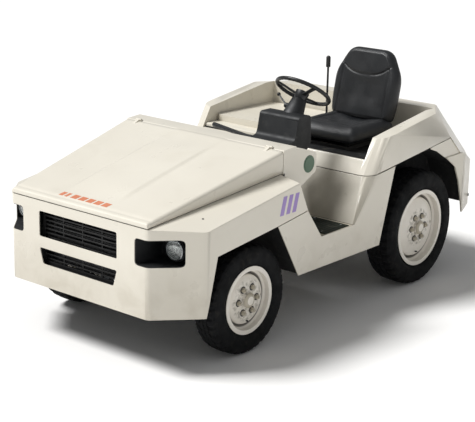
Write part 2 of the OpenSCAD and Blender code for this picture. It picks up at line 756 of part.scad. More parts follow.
module lower_body() {
    rear_arch = arch(rear_arch_shares, rear_tyre_r, rear_axle_y);
    front_arch = arch(front_arch_shares, front_tyre_r, axle_y);
    color("#e8dcb4") difference() {
        union() {
            both_sides() {
                side_slab([[front_arch[4][0], sill_z], [rear_arch[0][0] + half_w / 3, sill_z],
                    [rear_arch[0][0] + half_w / 3, step_z], [behind(step_front_v), step_z],
                    [behind(seam_end_v), seam_end_z - panel_gap],
                    [front_arch[3][0], seam_z(front_arch[3][0] - axle_y) - panel_gap],
                    [front_arch[3][0], sill_z + half_w / 3]], half_w - sheet_t, sheet_t);
                block(half_w - sill_w, behind(band_end_v) + 2 * bay_rim, sill_z, half_w - sheet_t,
                    rear_arch[1][0] - half_w / 4, sill_z + sheet_t);
                side_slab([[rear_arch[3][0] - panel_gap, bumper_top_z + clear],
                    [corner_y, bumper_top_z + clear], gap_end(0),
                    [rear_arch[3][0] - panel_gap, gap_line_z(rear_arch[3][0] - axle_y)]],
                    half_w - bumper_inset - sheet_t, sheet_t);
            }
            difference() {
                bulkhead_form(0);
                bulkhead_form(sheet_t);
                block(-half_w, rear_axle_y - half_w / 3, 0, half_w, rear_axle_y + overrun, rear_top_z);
            }
        }
        above_gap(0);
        side_slab(front_arch, -half_w - overrun, body_w + 2 * overrun);
        side_slab(rear_arch, -half_w - overrun, body_w + 2 * overrun);
    }
}

// Floor of the step with the toe board that rises to the cowl
module floor_pan() {
    w = half_w - sheet_t - clear;
    shelf_z = ledge_at(half_w, behind(band_end_v));
    color("#d9cfae") {
        block(wing_t + clear - hood_rear_w / 2, behind(band_end_v) + sheet_t, shelf_z - sheet_t,
            hood_rear_w / 2 - wing_t - clear, cowl_y + cowl_l, shelf_z);
        block(-w, behind(step_front_v), step_z - sheet_t, w, behind(step_rear_v) - sheet_t, step_z);
        intersection() {
            side_slab(strip([[behind(band_end_v) + sheet_t + 3 * clear, ledge_at(half_w, behind(band_end_v))],
                [behind(seam_end_v) + sheet_t + clear, seam_end_z], [behind(step_front_v) + sheet_t, step_z],
                [behind(step_front_v) + bay_rim, step_z]], -sheet_t), -w, 2 * w);
            block(-w, front_y, step_z - sheet_t, w, rear_axle_y, rear_top_z);
        }
    }
}

// Non-slip treads on both sides of the floor
tread_in_x = 300;
tread_t = 5;
tread_rim = 12;
rib_pitch = 26;
module step_treads() {
    y0 = behind(step_front_v) + 4 * tread_rim;
    y1 = behind(step_rear_v) - 3 * tread_rim;
    color("#23271f") both_sides() {
        block(tread_in_x, y0, step_z + clear, half_w - tread_rim, y1, step_z + tread_t);
        for (x = [tread_in_x + tread_rim:rib_pitch:half_w - 2 * tread_rim])
            block(x, y0 + tread_rim, step_z + tread_t - clear, x + tread_rim, y1 - tread_rim,
                step_z + tread_t + tread_t / 2);
    }
}

// Cowl behind the hood: top, rear panel and a wing panel on each side
cowl_edge_drop = 8;
wing_t = 34;
wing_reach_v = 692;
wing_top_v = 546;
wing_top_drop = 12;
wing_rear_z = 1035;
wing_low_z = 923;
module cowl() {
    w = hood_rear_w / 2;
    rear = cowl_y + cowl_l;
    foot_z = ledge_at(half_w, behind(band_end_v)) + clear;
    color("#e8dcb4") {
        difference() {
            side_slab(rounded([[cowl_y, foot_z], [rear, foot_z], [rear, hood_rear_z + cowl_edge_drop],
                [cowl_y, hood_rear_z]], cowl_edge_drop), -w, 2 * w);
            block(-w + sheet_t, front_y, foot_z + sheet_t, w - sheet_t, rear - sheet_t,
                hood_rear_z - sheet_t);
        }
        both_sides() difference() {
            side_slab(rounded([[cowl_y, foot_z], [behind(wing_top_v), wing_low_z - 2 * wing_t],
                [behind(wing_reach_v), wing_low_z], [behind(wing_reach_v), wing_rear_z],
                [behind(wing_top_v), hood_rear_z - wing_top_drop],
                [cowl_y, hood_rear_z - cowl_edge_drop]], wing_t / 2), w - wing_t, wing_t);
            rod_x([w, disc_y, disc_z], disc_r + clear, 2 * disc_t);
        }
        both_sides() hinge_ears();
    }
}

// Round green badge plate let into the left wing
disc_r = 52;
disc_t = 4;
disc_v = 622;
disc_y = behind(disc_v);
disc_z = 978;
module side_disc() {
    w = hood_rear_w / 2;
    color("#3f7f52") {
        rod_x([w - disc_t / 2, disc_y, disc_z], disc_r, disc_t - 2 * clear);
        rod_x([w, disc_y, disc_z], disc_r * 0.8, disc_t);
    }
}

// Instrument pod on the cowl's rear panel, with ears for the brake pedal
pod_w = 300;
pod_l = 400;
pod_h = 240;
pod_top_z = 1200;
pod_round = 24;
ear_w = 10;
pedal_x = 215;
pedal_w = 62;
pedal_pivot_v = 600;
pedal_pivot_z = 925;
pivot_r = 8;
ear_r = 20;
module instrument_pod() {
    y = cowl_y + cowl_l + clear;
    low = pod_top_z - pod_h;
    color("#1b1b1c") difference() {
        union() {
            side_slab(rounded([[y, low], [y + pod_l * 0.9, low + pod_h * 0.1], [y + pod_l, low + pod_h * 0.3],
                [y + pod_l * 0.97, pod_top_z], [y + pod_l * 0.68, pod_top_z],
                [y + pod_l * 0.6, low + pod_h * 0.42], [y, low + pod_h * 0.3]], pod_round),
                driver_x - pod_w / 2, pod_w);
            for (side = [-1, 1]) {
                rod_x([pedal_x + side * (pedal_w / 4 + ear_w / 2 + clear), behind(pedal_pivot_v),
                    pedal_pivot_z], ear_r, ear_w);
                block(pedal_x + side * (pedal_w / 4 + ear_w / 2 + clear) - ear_w / 2,
                    behind(pedal_pivot_v) - ear_r, pedal_pivot_z,
                    pedal_x + side * (pedal_w / 4 + ear_w / 2 + clear) + ear_w / 2,
                    behind(pedal_pivot_v) + ear_r, low + ear_r);
            }
        }
        rod_x([pedal_x, behind(pedal_pivot_v), pedal_pivot_z], pivot_r + pin_clear, 2 * pedal_w);
        steering_frame() translate([0, 0, -column_l - clear]) cylinder(h = column_l - column_top,
            r1 = column_foot_r + 2 * clear, r2 = column_r + 2 * clear);
        steering_frame() translate([0, 0, -shaft_l - overrun]) cylinder(h = shaft_l, r = shaft_r + pin_clear);
    }
}

// Steering: the frame's origin is the middle of the wheel's rim and its Z axis is the column
steer_v = 1000;
steer_z = 1308;
column_r = 46;
column_foot_r = 76;
column_l = 225;
column_top = 62;
shaft_r = 13;
shaft_l = 300;
wheel_hub_r = 44;
wheel_hub_h = 34;
steer_rim_r = 13;
spoke_w = 40;
spoke_t = 11;
rim_lift = 22;
horn_r = 30;
horn_h = 14;
horn_travel = 4;
stalk_drop = 110;
stalk_boss_r = 16;
module steering_frame() {
    translate([driver_x, behind(steer_v), steer_z]) rotate([-steer_tilt, 0, 0]) children();
}

module column_shroud() {
    color("#1b1b1c") steering_frame() difference() {
        union() {
            translate([0, 0, -column_l])
                cylinder(h = column_l - column_top, r1 = column_foot_r, r2 = column_r);
            rod_x([-column_r, 0, -stalk_drop], stalk_boss_r, column_r);
        }
        translate([0, 0, -column_l - overrun]) cylinder(h = column_l, r = shaft_r + pin_clear);
        rod_x([-column_r - overrun / 2, 0, -stalk_drop], shaft_r / 2 + pin_clear, column_r);
    }
}

module steering_shaft() {
    color("#8f9296") steering_frame() {
        translate([0, 0, -shaft_l]) cylinder(h = shaft_l - column_top + overrun, r = shaft_r);
    }
}

module steering_wheel() {
    color("#161617") steering_frame() {
        rotate_extrude($fn = 64) translate([steer_d / 2 - steer_rim_r, 0]) circle(r = steer_rim_r, $fn = 20);
        difference() {
            translate([0, 0, -column_top + clear])
                cylinder(h = wheel_hub_h + rim_lift, r1 = wheel_hub_r * 0.8, r2 = wheel_hub_r);
            translate([0, 0, -column_top]) cylinder(h = overrun + clear, r = shaft_r + clear);
            translate([0, 0, -column_top + wheel_hub_h + rim_lift - horn_h])
                cylinder(h = horn_h + overrun, r = horn_r + clear);
        }
        for (turn = [90, 210, 330]) rotate([0, 0, turn])
            bar_spoke([wheel_hub_r * 0.7, 0, -column_top + wheel_hub_h], [steer_d / 2 - steer_rim_r, 0, 0]);
    }
}

module bar_spoke(a, b) {
    rise = b[2] - a[2];
    run = b[0] - a[0];
    translate(a) rotate([0, -atan2(rise, run), 0]) translate([0, -spoke_w / 2, -spoke_t / 2])
        cube([norm([run, rise]), spoke_w, spoke_t]);
}

module horn_button() {
    top = -column_top + wheel_hub_h + rim_lift;
    color("#5a5b5d") steering_frame() {
        translate([0, 0, top - horn_h + horn_travel + clear]) cylinder(h = horn_h - horn_travel, r = horn_r);
    }
}

// Direction lever on the column
stalk_l = 140;
stalk_r = 5;
stalk_knob_r = 12;
module shift_lever() {
    stalk_end = [-1.5 * column_r - stalk_l * 0.7, 0, -stalk_drop + stalk_l * 0.45];
    color("#1a1a1b") steering_frame() {
        rod_x([-column_r - stalk_boss_r / 2, 0, -stalk_drop], shaft_r / 2, column_r);
        translate([-1.5 * column_r - clear, 0, -stalk_drop]) rotate([0, -90, 0])
            cylinder(h = stalk_boss_r, r = stalk_boss_r);
        bar([-1.5 * column_r - stalk_boss_r / 2, 0, -stalk_drop], stalk_end, stalk_r);
        translate(stalk_end) sphere(r = stalk_knob_r);
    }
}

// Pedals
pedal_l = 90;
pedal_drop = 215;
pedal_arm_r = 8;
throttle_x = 345;
throttle_v = 632;
throttle_l = 155;
throttle_w = 66;
throttle_lean = 54;
module brake_pedal() {
    y = behind(pedal_pivot_v);
    color("#2c2c2e") {
        rod_x([pedal_x, y, pedal_pivot_z], pivot_r, pedal_w / 2 + 2 * ear_w + 4 * clear);
        rod_x([pedal_x, y, pedal_pivot_z], ear_r * 0.8, pedal_w / 2);
        bar([pedal_x, y, pedal_pivot_z], [pedal_x, y + ear_r, pedal_pivot_z - pedal_drop], pedal_arm_r);
        translate([pedal_x, y + ear_r, pedal_pivot_z - pedal_drop]) rotate([-30, 0, 0])
            linear_extrude(height = ear_w) polygon(rounded(box_outline(-pedal_w / 2, -pedal_l / 2,
            pedal_w / 2, pedal_l / 2), ear_w));
    }
}

module accelerator_pedal() {
    color("#1f1f20") translate([throttle_x, behind(throttle_v), step_z + clear + pivot_r]) {
        rod_x([0, 0, 0], pivot_r, throttle_w);
        rotate([-throttle_lean, 0, 0]) translate([0, -throttle_l, 0])
            linear_extrude(height = pivot_r) polygon(rounded(box_outline(-throttle_w / 2, 0,
            throttle_w / 2, throttle_l), ear_w));
    }
}

// Hood: a wedge shell with a rolled front lip and a slightly raised middle panel
hood_crown = 4;
hood_crown_w = 420;
hood_crown_l = 860;
hood_rim = 60;
hood_round = 10;
hood_rear_lift = 12;
hinge_in = 104;
hinge_x = hood_rear_w / 2 - hinge_in;
hinge_r = 7.5;
hinge_pin_r = 3.5;
hinge_w = 20;
hinge_strap_l = 46;
hinge_y = hood_rear_y + panel_gap / 2;
hinge_z = hood_rear_z + hinge_r;
module hinge_strap() {
    slope = hinge_strap_l * hood_rise_share;
    difference() {
        union() {
            side_slab([[hinge_y - hinge_strap_l, hood_rear_z - slope - hood_t / 2],
                [hinge_y - panel_gap / 2 - clear, hood_rear_z - hood_t / 2],
                [hinge_y - panel_gap / 2 - clear, hinge_z], [hinge_y, hinge_z + hinge_r * 0.9],
                [hinge_y - hinge_r, hinge_z + hinge_r * 0.4],
                [hinge_y - hinge_strap_l, hood_rear_z - slope + hood_t]],
                hinge_x - hinge_w / 2, hinge_w);
            rod_x([hinge_x, hinge_y, hinge_z], hinge_r - clear, hinge_w);
        }
        rod_x([hinge_x, hinge_y, hinge_z], hinge_pin_r + pin_clear, 2 * hinge_w);
    }
}
module hinge_ears() {
    rod_x([hinge_x, hinge_y, hinge_z], hinge_pin_r, 2 * hinge_w);
    for (side = [-1, 1]) let (x = hinge_x + side * (hinge_w * 0.75 + clear)) {
        rod_x([x, hinge_y, hinge_z], hinge_r - clear, hinge_w / 2);
        block(x - hinge_w / 4, hinge_y, hood_rear_z - clear, x + hinge_w / 4, hinge_y + 2 * hinge_r,
            hinge_z);
        block(x - hinge_w / 4, hinge_y + hinge_r, hood_rear_z - sheet_t, x + hinge_w / 4,
            hinge_y + 2.4 * hinge_r, hinge_z - hinge_r / 4);
    }
}
module hood_side_form(lift, low) {
    side_slab([[front_y + lift, hood_front_z - low], [behind(band_end_v) - lift,
        hood_front_z - low + hood_l * ledge_rise_share], [behind(band_end_v) - lift, hood_rear_z - lift],
        [front_y + hood_lip_h + lift, hood_front_z + hood_lip_h - lift],
        [front_y + lift, hood_front_z + hood_lip_h / 2]], -half_w, body_w);
}

module hood_form(d, low) {
    intersection() {
        hood_side_form(d, low);
        top_slab(rounded(inset([[-front_face_w / 2, front_y], [front_face_w / 2, front_y],
            [hood_rear_w / 2, behind(band_end_v)], [-hood_rear_w / 2, behind(band_end_v)]], d), hood_round),
            ledge_z - half_w, body_w);
    }
}

module hood() {
    rise = atan(hood_rise_share);
    color("#e8dcb4") difference() {
        union() {
            hood_form(0, hood_rim);
            translate([0, front_y + hood_lip_h, hood_front_z + hood_lip_h]) rotate([rise, 0, 0])
                top_slab(rounded([[-hood_crown_w / 2, hood_crown_l * 0.2],
                [hood_crown_w / 2, hood_crown_l * 0.2], [hood_crown_w / 2, hood_crown_l],
                [-hood_crown_w / 2, hood_crown_l]], hood_rim / 2), -hood_t, hood_t + hood_crown);
        }
        hood_form(hood_t, 2 * hood_rim);
        below_seam(panel_gap);
        block(-hood_rear_w / 2 + 2 * hood_t, hood_rear_y - 2 * hood_t, ledge_z, hood_rear_w / 2 - 2 * hood_t,
            hood_rear_y + overrun, hood_side_rear_z + hood_rear_lift);
    }
    color("#e8dcb4") both_sides() hinge_strap();
}

// Everything below the seam between the hood and the front body
module below_seam(lift) {
    beyond([0, front_y, hood_front_z + lift], [0, hood_side_rear_z - hood_front_z, -hood_l]);
}

// Rear module: a double-walled tub around the deck
well_half_w = half_w - rear_wall_w;
shell_t = 6;
module deck_form(d) {
    corner_n = [rear_corner_l, rear_corner_x, rear_corner_x * rear_lean_share];
    slope_n = [0, -(rear_top_z - rear_front_z), rear_slope_end_v - bulkhead_top_v
        - bulkhead_lean_share * (rear_front_z - bulkhead_z)];
    rear_n = [0, 1, rear_lean_share];
    difference() {
        intersection() {
            union() {
                bulkhead_form(d);
                block(-half_w + d, rear_axle_y - half_w / 2, tail_low_z, half_w - d,
                    rear_face_y - 2 * bumper_t - d, rear_top_z);
            }
            block(-half_w, front_y, 0, half_w, rear_face_y, rear_top_z - d);
        }
        beyond([0, behind(rear_slope_end_v), rear_top_z] - d * unit(slope_n), slope_n);
        beyond([0, rear_plane_y(bumper_top_z), bumper_top_z] - d * unit(rear_n), rear_n);
        for (side = [-1, 1]) let (n = [side * corner_n[0], corner_n[1], corner_n[2]])
            beyond([side * half_w, rear_plane_y(bumper_top_z) - rear_corner_l, bumper_top_z]
                - d * unit(n), n);
    }
}

module deck_well(d) {
    block(-well_half_w - d, front_y, deck_z - d, well_half_w + d, behind(well_rear_v) + d,
        rear_top_z + overrun);
}

// Lower edge of the rear module in the side view: the gap line, the corner's edge and the bumper's top
corner_y = rear_plane_y(bumper_top_z) - rear_corner_l;
gap_end_rise = (gap_line_z(corner_y - axle_y) - bumper_top_z) / (1 + gap_rise_share * rear_lean_share);
function gap_end(lift) = [corner_y - rear_lean_share * gap_end_rise, bumper_top_z + gap_end_rise + lift];
function tail_top(drop) = [[behind(tail_slope_v), bumper_top_z - drop],
    [rear_face_y, tail_low_z - drop], [rear_face_y + overrun, tail_low_z - overrun - drop]];

module deck_shell() {
    color("#e8dcb4") difference() {
        deck_form(0);
        deck_well(0);
        difference() {
            deck_form(shell_t);
            deck_well(shell_t);
        }
        side_slab(concat([[front_y, 0], [front_y, gap_line_z(0) - half_w]],
            [[axle_y, gap_line_z(0) + panel_gap], gap_end(panel_gap), [corner_y, bumper_top_z + clear]], tail_top(-clear),
            [[rear_face_y + overrun, 0]]), -half_w - overrun, body_w + 2 * overrun);
    }
}

// Mat on the deck and the raised cover on its right half
mat_t = 5;
mat_front_v = 1150;
cover_front_v = 1270;
cover_rear_v = 1860;
cover_in_x = 80;
side_cover_h = 70;
cover_round = 30;
module deck_mat() {
    w = well_half_w - clear;
    color("#1e1e1f") top_slab([[-w, behind(mat_front_v)], [w, behind(mat_front_v)],
        [w, behind(well_rear_v) - clear], [-cover_in_x + clear, behind(well_rear_v) - clear],
        [-cover_in_x + clear, behind(cover_front_v) - clear], [-w, behind(cover_front_v) - clear]],
        deck_z + clear, mat_t);
}

module side_cover() {
    w = well_half_w - panel_gap;
    color("#e2d5ae") difference() {
        top_slab(rounded(box_outline(-w, behind(cover_front_v), -cover_in_x, behind(cover_rear_v)),
            cover_round), deck_z + clear, side_cover_h);
        top_slab(rounded(box_outline(-w + shell_t, behind(cover_front_v) + shell_t, -cover_in_x - shell_t,
            behind(cover_rear_v) - shell_t), cover_round - shell_t), deck_z - overrun,
            side_cover_h + overrun - shell_t);
    }
}

// Seat: rails on the deck, a pan that slides on them, cushion and back
seat_front_v = 1215;
cushion_h = 75;
rail_gap = 150;
seat_rail_w = 30;
seat_rail_h = 50;
pan_t = 8;
seat_slide = 60;
back_lean = 13;
back_v = 1640;
back_t = 95;
lever_x = -12;
lever_v = 1640;
lever_h = 440;
lever_r = 7;
lever_ear_h = 42;
lever_ear_w = 8;
grip_r = 15;
grip_l = 60;
floor_z = deck_z + clear + mat_t + clear;
module seat_rails() {
    color("#2a2a2b") {
        for (side = [-1, 1])
            block(driver_x + side * rail_gap - seat_rail_w / 2, behind(seat_front_v) + seat_slide,
                floor_z + seat_rail_h / 2 - clear, driver_x + side * rail_gap + seat_rail_w / 2,
                behind(seat_front_v) + seat_l, floor_z + seat_rail_h);
        block(driver_x - rail_gap - seat_rail_w, behind(seat_front_v) + seat_slide / 2, floor_z,
            driver_x + rail_gap + seat_rail_w, behind(seat_front_v) + seat_l, floor_z + seat_rail_h / 2);
        difference() {
            union() for (side = [-1, 1]) {
                rod_x([lever_x + side * (2 * lever_ear_w), behind(lever_v), floor_z + lever_ear_h],
                    grip_r, lever_ear_w);
                block(lever_x + side * 2 * lever_ear_w - lever_ear_w / 2, behind(lever_v) - 2 * grip_r,
                    floor_z, lever_x + side * 2 * lever_ear_w + lever_ear_w / 2,
                    behind(lever_v) + 2 * grip_r, floor_z + lever_ear_h);
            }
            rod_x([lever_x, behind(lever_v), floor_z + lever_ear_h], lever_r + pin_clear, 8 * lever_ear_w);
        }
    }
}

module parking_lever() {
    z = floor_z + lever_ear_h;
    color("#2b2b2c") {
        rod_x([lever_x, behind(lever_v), z], lever_r, 5 * lever_ear_w + overrun / 2);
        rod_x([lever_x, behind(lever_v), z], grip_r, 3 * lever_ear_w - 2 * clear);
        rod_z([lever_x, behind(lever_v), z + lever_h / 2], lever_r, lever_h);
        rod_z([lever_x, behind(lever_v), z + lever_h - grip_l / 2], grip_r, grip_l);
        translate([lever_x, behind(lever_v), z + lever_h]) sphere(r = grip_r);
    }
}

module seat_pan() {
    w = seat_w / 2 - 4 * pan_t;
    y = behind(seat_front_v);
    z = floor_z + seat_rail_h + clear;
    color("#232324") {
        block(driver_x - w, y + 3 * pan_t, z, driver_x + w, y + seat_l + 5 * pan_t, z + pan_t);
        for (side = [-1, 1]) for (edge = [-1, 1])
            block(driver_x + side * rail_gap + edge * (seat_rail_w / 2 + clear + pan_t / 2) - pan_t / 2,
                y + seat_slide + 4 * pan_t, z - seat_rail_h / 3,
                driver_x + side * rail_gap + edge * (seat_rail_w / 2 + clear + pan_t / 2) + pan_t / 2,
                y + seat_l - seat_slide, z + pan_t / 2);
        both_pan_sides(0.7 * w) block(0, y + seat_l + clear, z, pan_t, y + seat_l + 5 * pan_t,
            seat_foot_z() - back_t / 2 * sin(back_lean) - clear);
    }
}

module both_pan_sides(w) {
    for (x = [driver_x - w, driver_x + w - pan_t]) translate([x, 0, 0]) children();
}

// Cushion: crowned top with drawn-in sides, between its base and its top edge
cushion_share = 0.93;
cushion_round = 60;
channel_r = 5;
module seat_cushion() {
    w = seat_w / 2;
    y = behind(seat_front_v);
    low = floor_z + seat_rail_h + pan_t + 2 * clear;
    color("#28282a") difference() {
        hull() {
            top_slab(cushion_plan(seat_round_in()), low, clear);
            top_slab(cushion_plan(0), low + cushion_h * 0.55, clear);
            top_slab(cushion_plan(seat_round_in() / 2), low + cushion_h * 0.9, clear);
            top_slab(cushion_plan(cushion_round * 1.4), low + cushion_h + channel_r, clear);
        }
        for (x = [-w * 0.55, w * 0.55])
            rod_y([driver_x + x, y + seat_l / 2, low + cushion_h + channel_r], channel_r, 2 * seat_l);
    }
}
function seat_round_in() = seat_w * (1 - cushion_share) / 2;
function cushion_plan(d) = rounded(box_outline(driver_x - seat_w / 2 + d, behind(seat_front_v) + d,
    driver_x + seat_w / 2 - d, behind(seat_front_v) + seat_l - d), cushion_round);

// Back: leaning panel with sloped shoulders, wider at the foot
back_top_w = 300;
function seat_foot_z() = floor_z + seat_rail_h + pan_t + cushion_h + 2 * channel_r + 4 * clear;
module seat_back() {
    color("#28282a") translate([driver_x, behind(back_v), seat_foot_z()])
        rotate([-back_lean, 0, 0]) difference() {
        hull() {
            back_slice(0.05, 0, 0.5);
            back_slice(0, 0.25, 0.4);
            back_slice(0.06, 0.95, 0.35);
        }
        for (x = [-seat_w * 0.29, seat_w * 0.29]) rod_z([x, -back_t / 2, 0], channel_r, 3 * back_h);
        rod_x([0, -back_t / 2, back_h * 0.62], channel_r, 2 * seat_w);
    }
}
// The back's outline, drawn in by a share and laid in its thickness from a share
module back_slice(share, from, thick) {
    w = seat_w / 2 * (1 - share);
    h = back_h * (1 - share / 2);
    front_slab(rounded([[-w, 0], [w, 0], [w, h * 0.62], [back_top_w / 2, h], [-back_top_w / 2, h],
        [-w, h * 0.62]], cushion_round), -back_t / 2 + back_t * from, back_t * min(thick, 1 - from));
}

// Rear bumper: a plate wrapped around the rear with a ledge on top
bumper_corner_x = 100;
bumper_corner_l = 245;
bumper_round = 30;
lamp_plate_x = 500;
lamp_plate_z = 610;
lamp_plate_w = 150;
lamp_plate_h = 70;
function bumper_plan(d) = let (p = inset([[-half_w, rear_axle_y], [half_w, rear_axle_y],
    [half_w, rear_face_y - bumper_corner_l], [half_w - bumper_corner_x, rear_face_y],
    [bumper_corner_x - half_w, rear_face_y], [-half_w, rear_face_y - bumper_corner_l]], d))
    rounded(p, bumper_round);
module bumper_form(d) {
    intersection() {
        top_slab(bumper_plan(d), 0, rear_top_z);
        side_slab(concat([[behind(wheelbase), bumper_low_z - d], [behind(wheelbase), bumper_top_z - d]],
            tail_top(d), [[rear_face_y + overrun, bumper_low_z - d]]), -half_w, body_w);
    }
}

module rear_bumper() {
    color("#e2d5ae") difference() {
        bumper_form(0);
        bumper_form(bumper_t);
        top_slab(bumper_plan(2 * bumper_ledge_l), 0, rear_top_z);
        side_slab(shifted([for (i = [len(rear_liner_shares) - 1:-1:0]) [rear_axle_y
            + rear_liner_shares[i][0] * rear_tyre_r, rear_liner_shares[i][1] * rear_tyre_r]],
            -liner_t - clear), bumper_t + clear - half_w, body_w - 2 * bumper_t - 2 * clear);
        block(-half_w, rear_axle_y - half_w, 0, half_w, rear_axle_y + rear_tyre_r / 3, rear_top_z);
        side_slab(arch(rear_arch_shares, rear_tyre_r, rear_axle_y), -half_w - overrun, body_w + 2 * overrun);
        both_sides() front_slab(rounded(box_outline(lamp_plate_x - lamp_plate_w / 2,
            lamp_plate_z - lamp_plate_h / 2, lamp_plate_x + lamp_plate_w / 2,
            lamp_plate_z + lamp_plate_h / 2), overrun), rear_face_y - 3 * bumper_t, 4 * bumper_t);
    }
}

module tail_lamps() {
    w = lamp_plate_w / 2 - clear;
    h = lamp_plate_h / 2 - clear;
    color("#a3231d") both_sides() {
        front_slab(rounded(box_outline(lamp_plate_x - w, lamp_plate_z - h, lamp_plate_x + w,
            lamp_plate_z + h), overrun), rear_face_y - bumper_t, bumper_t + clear);
    }
}

// Pin coupler: a back plate with bolts, two jaws and their ribs
coupler_w = 220;
coupler_h = 240;
coupler_z = 540;
coupler_plate_t = 22;
jaw_t = 26;
jaw_w = 170;
jaw_gap = 74;
tow_pin_r = 19;
coupler_bolt_r = 14;
function coupler_pin_y() = overall_l / 2 - 2.2 * tow_pin_r;
module tow_coupler() {
    y = rear_face_y + clear;
    color("#2d2d2f") difference() {
        union() {
            front_slab(rounded(box_outline(-coupler_w / 2, coupler_z - coupler_h / 2, coupler_w / 2,
                coupler_z + coupler_h / 2), 2 * overrun), y, coupler_plate_t);
            for (side = [-1, 1]) {
                z = coupler_z + side * (jaw_gap + jaw_t) / 2;
                top_slab(rounded([[-jaw_w / 2, y], [jaw_w / 2, y], [jaw_w / 2, overall_l / 2 - 3 * tow_pin_r],
                    [jaw_w / 4, overall_l / 2], [-jaw_w / 4, overall_l / 2],
                    [-jaw_w / 2, overall_l / 2 - 3 * tow_pin_r]], tow_pin_r), z - jaw_t / 2, jaw_t);
                for (x = [-jaw_w / 2 + jaw_t / 2, jaw_w / 2 - jaw_t / 2])
                    side_slab([[y, z], [overall_l / 2 - 3 * tow_pin_r, z],
                        [y, z + side * (coupler_h / 2 - jaw_gap)]], x - jaw_t / 4, jaw_t / 2);
            }
            for (x = [-1, 1], z = [-1, 1])
                translate([x * (coupler_w / 2 - coupler_bolt_r * 0.9), y + coupler_plate_t,
                    coupler_z + z * (coupler_h / 2 - coupler_bolt_r * 1.4)])
                    rotate([-90, 0, 0]) cylinder(h = coupler_bolt_r * 0.7, r = coupler_bolt_r, $fn = 6);
        }
        rod_z([0, coupler_pin_y(), coupler_z], tow_pin_r + pin_clear, 2 * coupler_h);
    }
}

module tow_pin() {
    top = coupler_z + jaw_gap / 2 + jaw_t + clear;
    low = coupler_z - jaw_gap / 2 - jaw_t - overrun;
    color("#7d8084") {
        translate([0, coupler_pin_y(), low]) cylinder(h = top - low + tow_pin_r, r = tow_pin_r);
        translate([0, coupler_pin_y(), top]) cylinder(h = overrun, r = tow_pin_r * 1.5);
        translate([0, coupler_pin_y(), top + 2.4 * tow_pin_r]) rotate([90, 0, 0])
            rotate_extrude() translate([tow_pin_r * 1.5, 0]) circle(r = tow_pin_r * 0.32, $fn = 16);
    }
}

// Front knuckles: a fork around the axle's eye, the spindle and the steering arm
knuckle_t = 18;
fork_reach = 62;
fork_top_w = 22;
backplate_t = 6;
backplate_r = 132;
spindle_r = 20;
spindle_end = 164;
arm_l = 140;
arm_in = 0;
tie_r = 8.5;
tie_boss_r = 20;
tie_pin_r = 8;
module left_knuckle() {
    color("#3b3c3f") knuckle();
}

module right_knuckle() {
    color("#3b3c3f") mirror([1, 0, 0]) knuckle();
}

module knuckle() {
    x = kingpin_x;
    z = front_tyre_r;
    rise = eye_h / 2 + clear;
    rod_z([x, axle_y, z], kingpin_r, eye_h + 2 * knuckle_t);
    for (side = [-1, 1]) {
        low = side > 0 ? z + rise : z - rise - knuckle_t;
        rod_z([x, axle_y, low + knuckle_t / 2], eye_r, knuckle_t);
        block(x, axle_y - eye_r, low, x + fork_reach, axle_y + eye_r, low + knuckle_t);
    }
    block(x + fork_reach - fork_top_w, axle_y - eye_r, z - rise - knuckle_t, x + fork_reach,
        axle_y + eye_r, z + rise + knuckle_t);
    rod_x([x + fork_reach + backplate_t / 2 - clear, axle_y, z], backplate_r, backplate_t);
    translate([x + fork_reach - clear, axle_y, z]) rotate([0, 90, 0])
        cylinder(h = spindle_end - fork_reach, r = spindle_r);
    top_slab([[x - eye_r * 0.7, axle_y], [x - arm_in - tie_boss_r * 0.8, axle_y + arm_l],
        [x - arm_in + tie_boss_r * 0.8, axle_y + arm_l], [x + eye_r, axle_y + eye_r]],
        z - rise - knuckle_t, knuckle_t);
    rod_z([x - arm_in, axle_y + arm_l, z - rise - knuckle_t / 2], tie_boss_r, knuckle_t);
    rod_z([x - arm_in, axle_y + arm_l, z - rise - 1.5 * knuckle_t], tie_pin_r, 2 * knuckle_t);
}

module tie_rod() {
    x = kingpin_x - arm_in;
    y = axle_y + arm_l;
    z = front_tyre_r - eye_h / 2 - 2 * clear - 1.5 * knuckle_t;
    color("#46474a") difference() {
        union() {
            rod_x([0, y, z], tie_r, 2 * x - tie_boss_r);
            both_sides() rod_z([x, y, z], tie_boss_r, knuckle_t);
        }
        both_sides() rod_z([x, y, z], tie_pin_r + pin_clear, 2 * knuckle_t);
    }
}

// Wheels are drawn around their own axis: Z points outwards, the middle of the rim lies at the origin
seat_drop = 20;
well_drop = 22;
front_tyre_in = 34;
rear_tyre_in = 14;
front_centre_x = half_w - front_tyre_in - front_tyre_w / 2;
rear_centre_x = half_w - rear_tyre_in - rear_tyre_w / 2;
rim_width_share = 0.84;
lug_share = 0.70;
lug_r = 78;
disc_dome_share = 0.95;
valve_share = 0.80;
valve_r = 11;
centre_r = 44;
cap_l = 26;
hub_flange_t = 14;
hub_flange_r = 104;
rear_drum_gap = 40;
tyre_shares = [[0, 0.37], [0.16, 0.405], [0.30, 0.485], [0.50, 0.50], [0.70, 0.49], [0.84, 0.46],
    [0.94, 0.41], [1, 0.33]];
tyre_t = 17;

module placed_wheel(x, y, z, side) {
    translate([side * x, y, z]) rotate([0, side * 90, 0]) children();
}

module tyre(r, w, rim_r) {
    bead = rim_r - seat_drop + clear;
    outer = [for (p = tyre_shares) [bead + p[0] * (r - bead), p[1] * w]];
    inner = [for (p = tyre_shares) [bead + p[0] * (r - bead - tyre_t), p[1] * w - tyre_t * 0.8]];
    n = len(outer) - 1;
    rotate_extrude($fn = 72) polygon(concat([for (p = outer) [p[0], -p[1]]], [for (i = [n:-1:0]) outer[i]],
        [for (p = inner) p], [for (i = [n:-1:0]) [inner[i][0], -inner[i][1]]]));
}

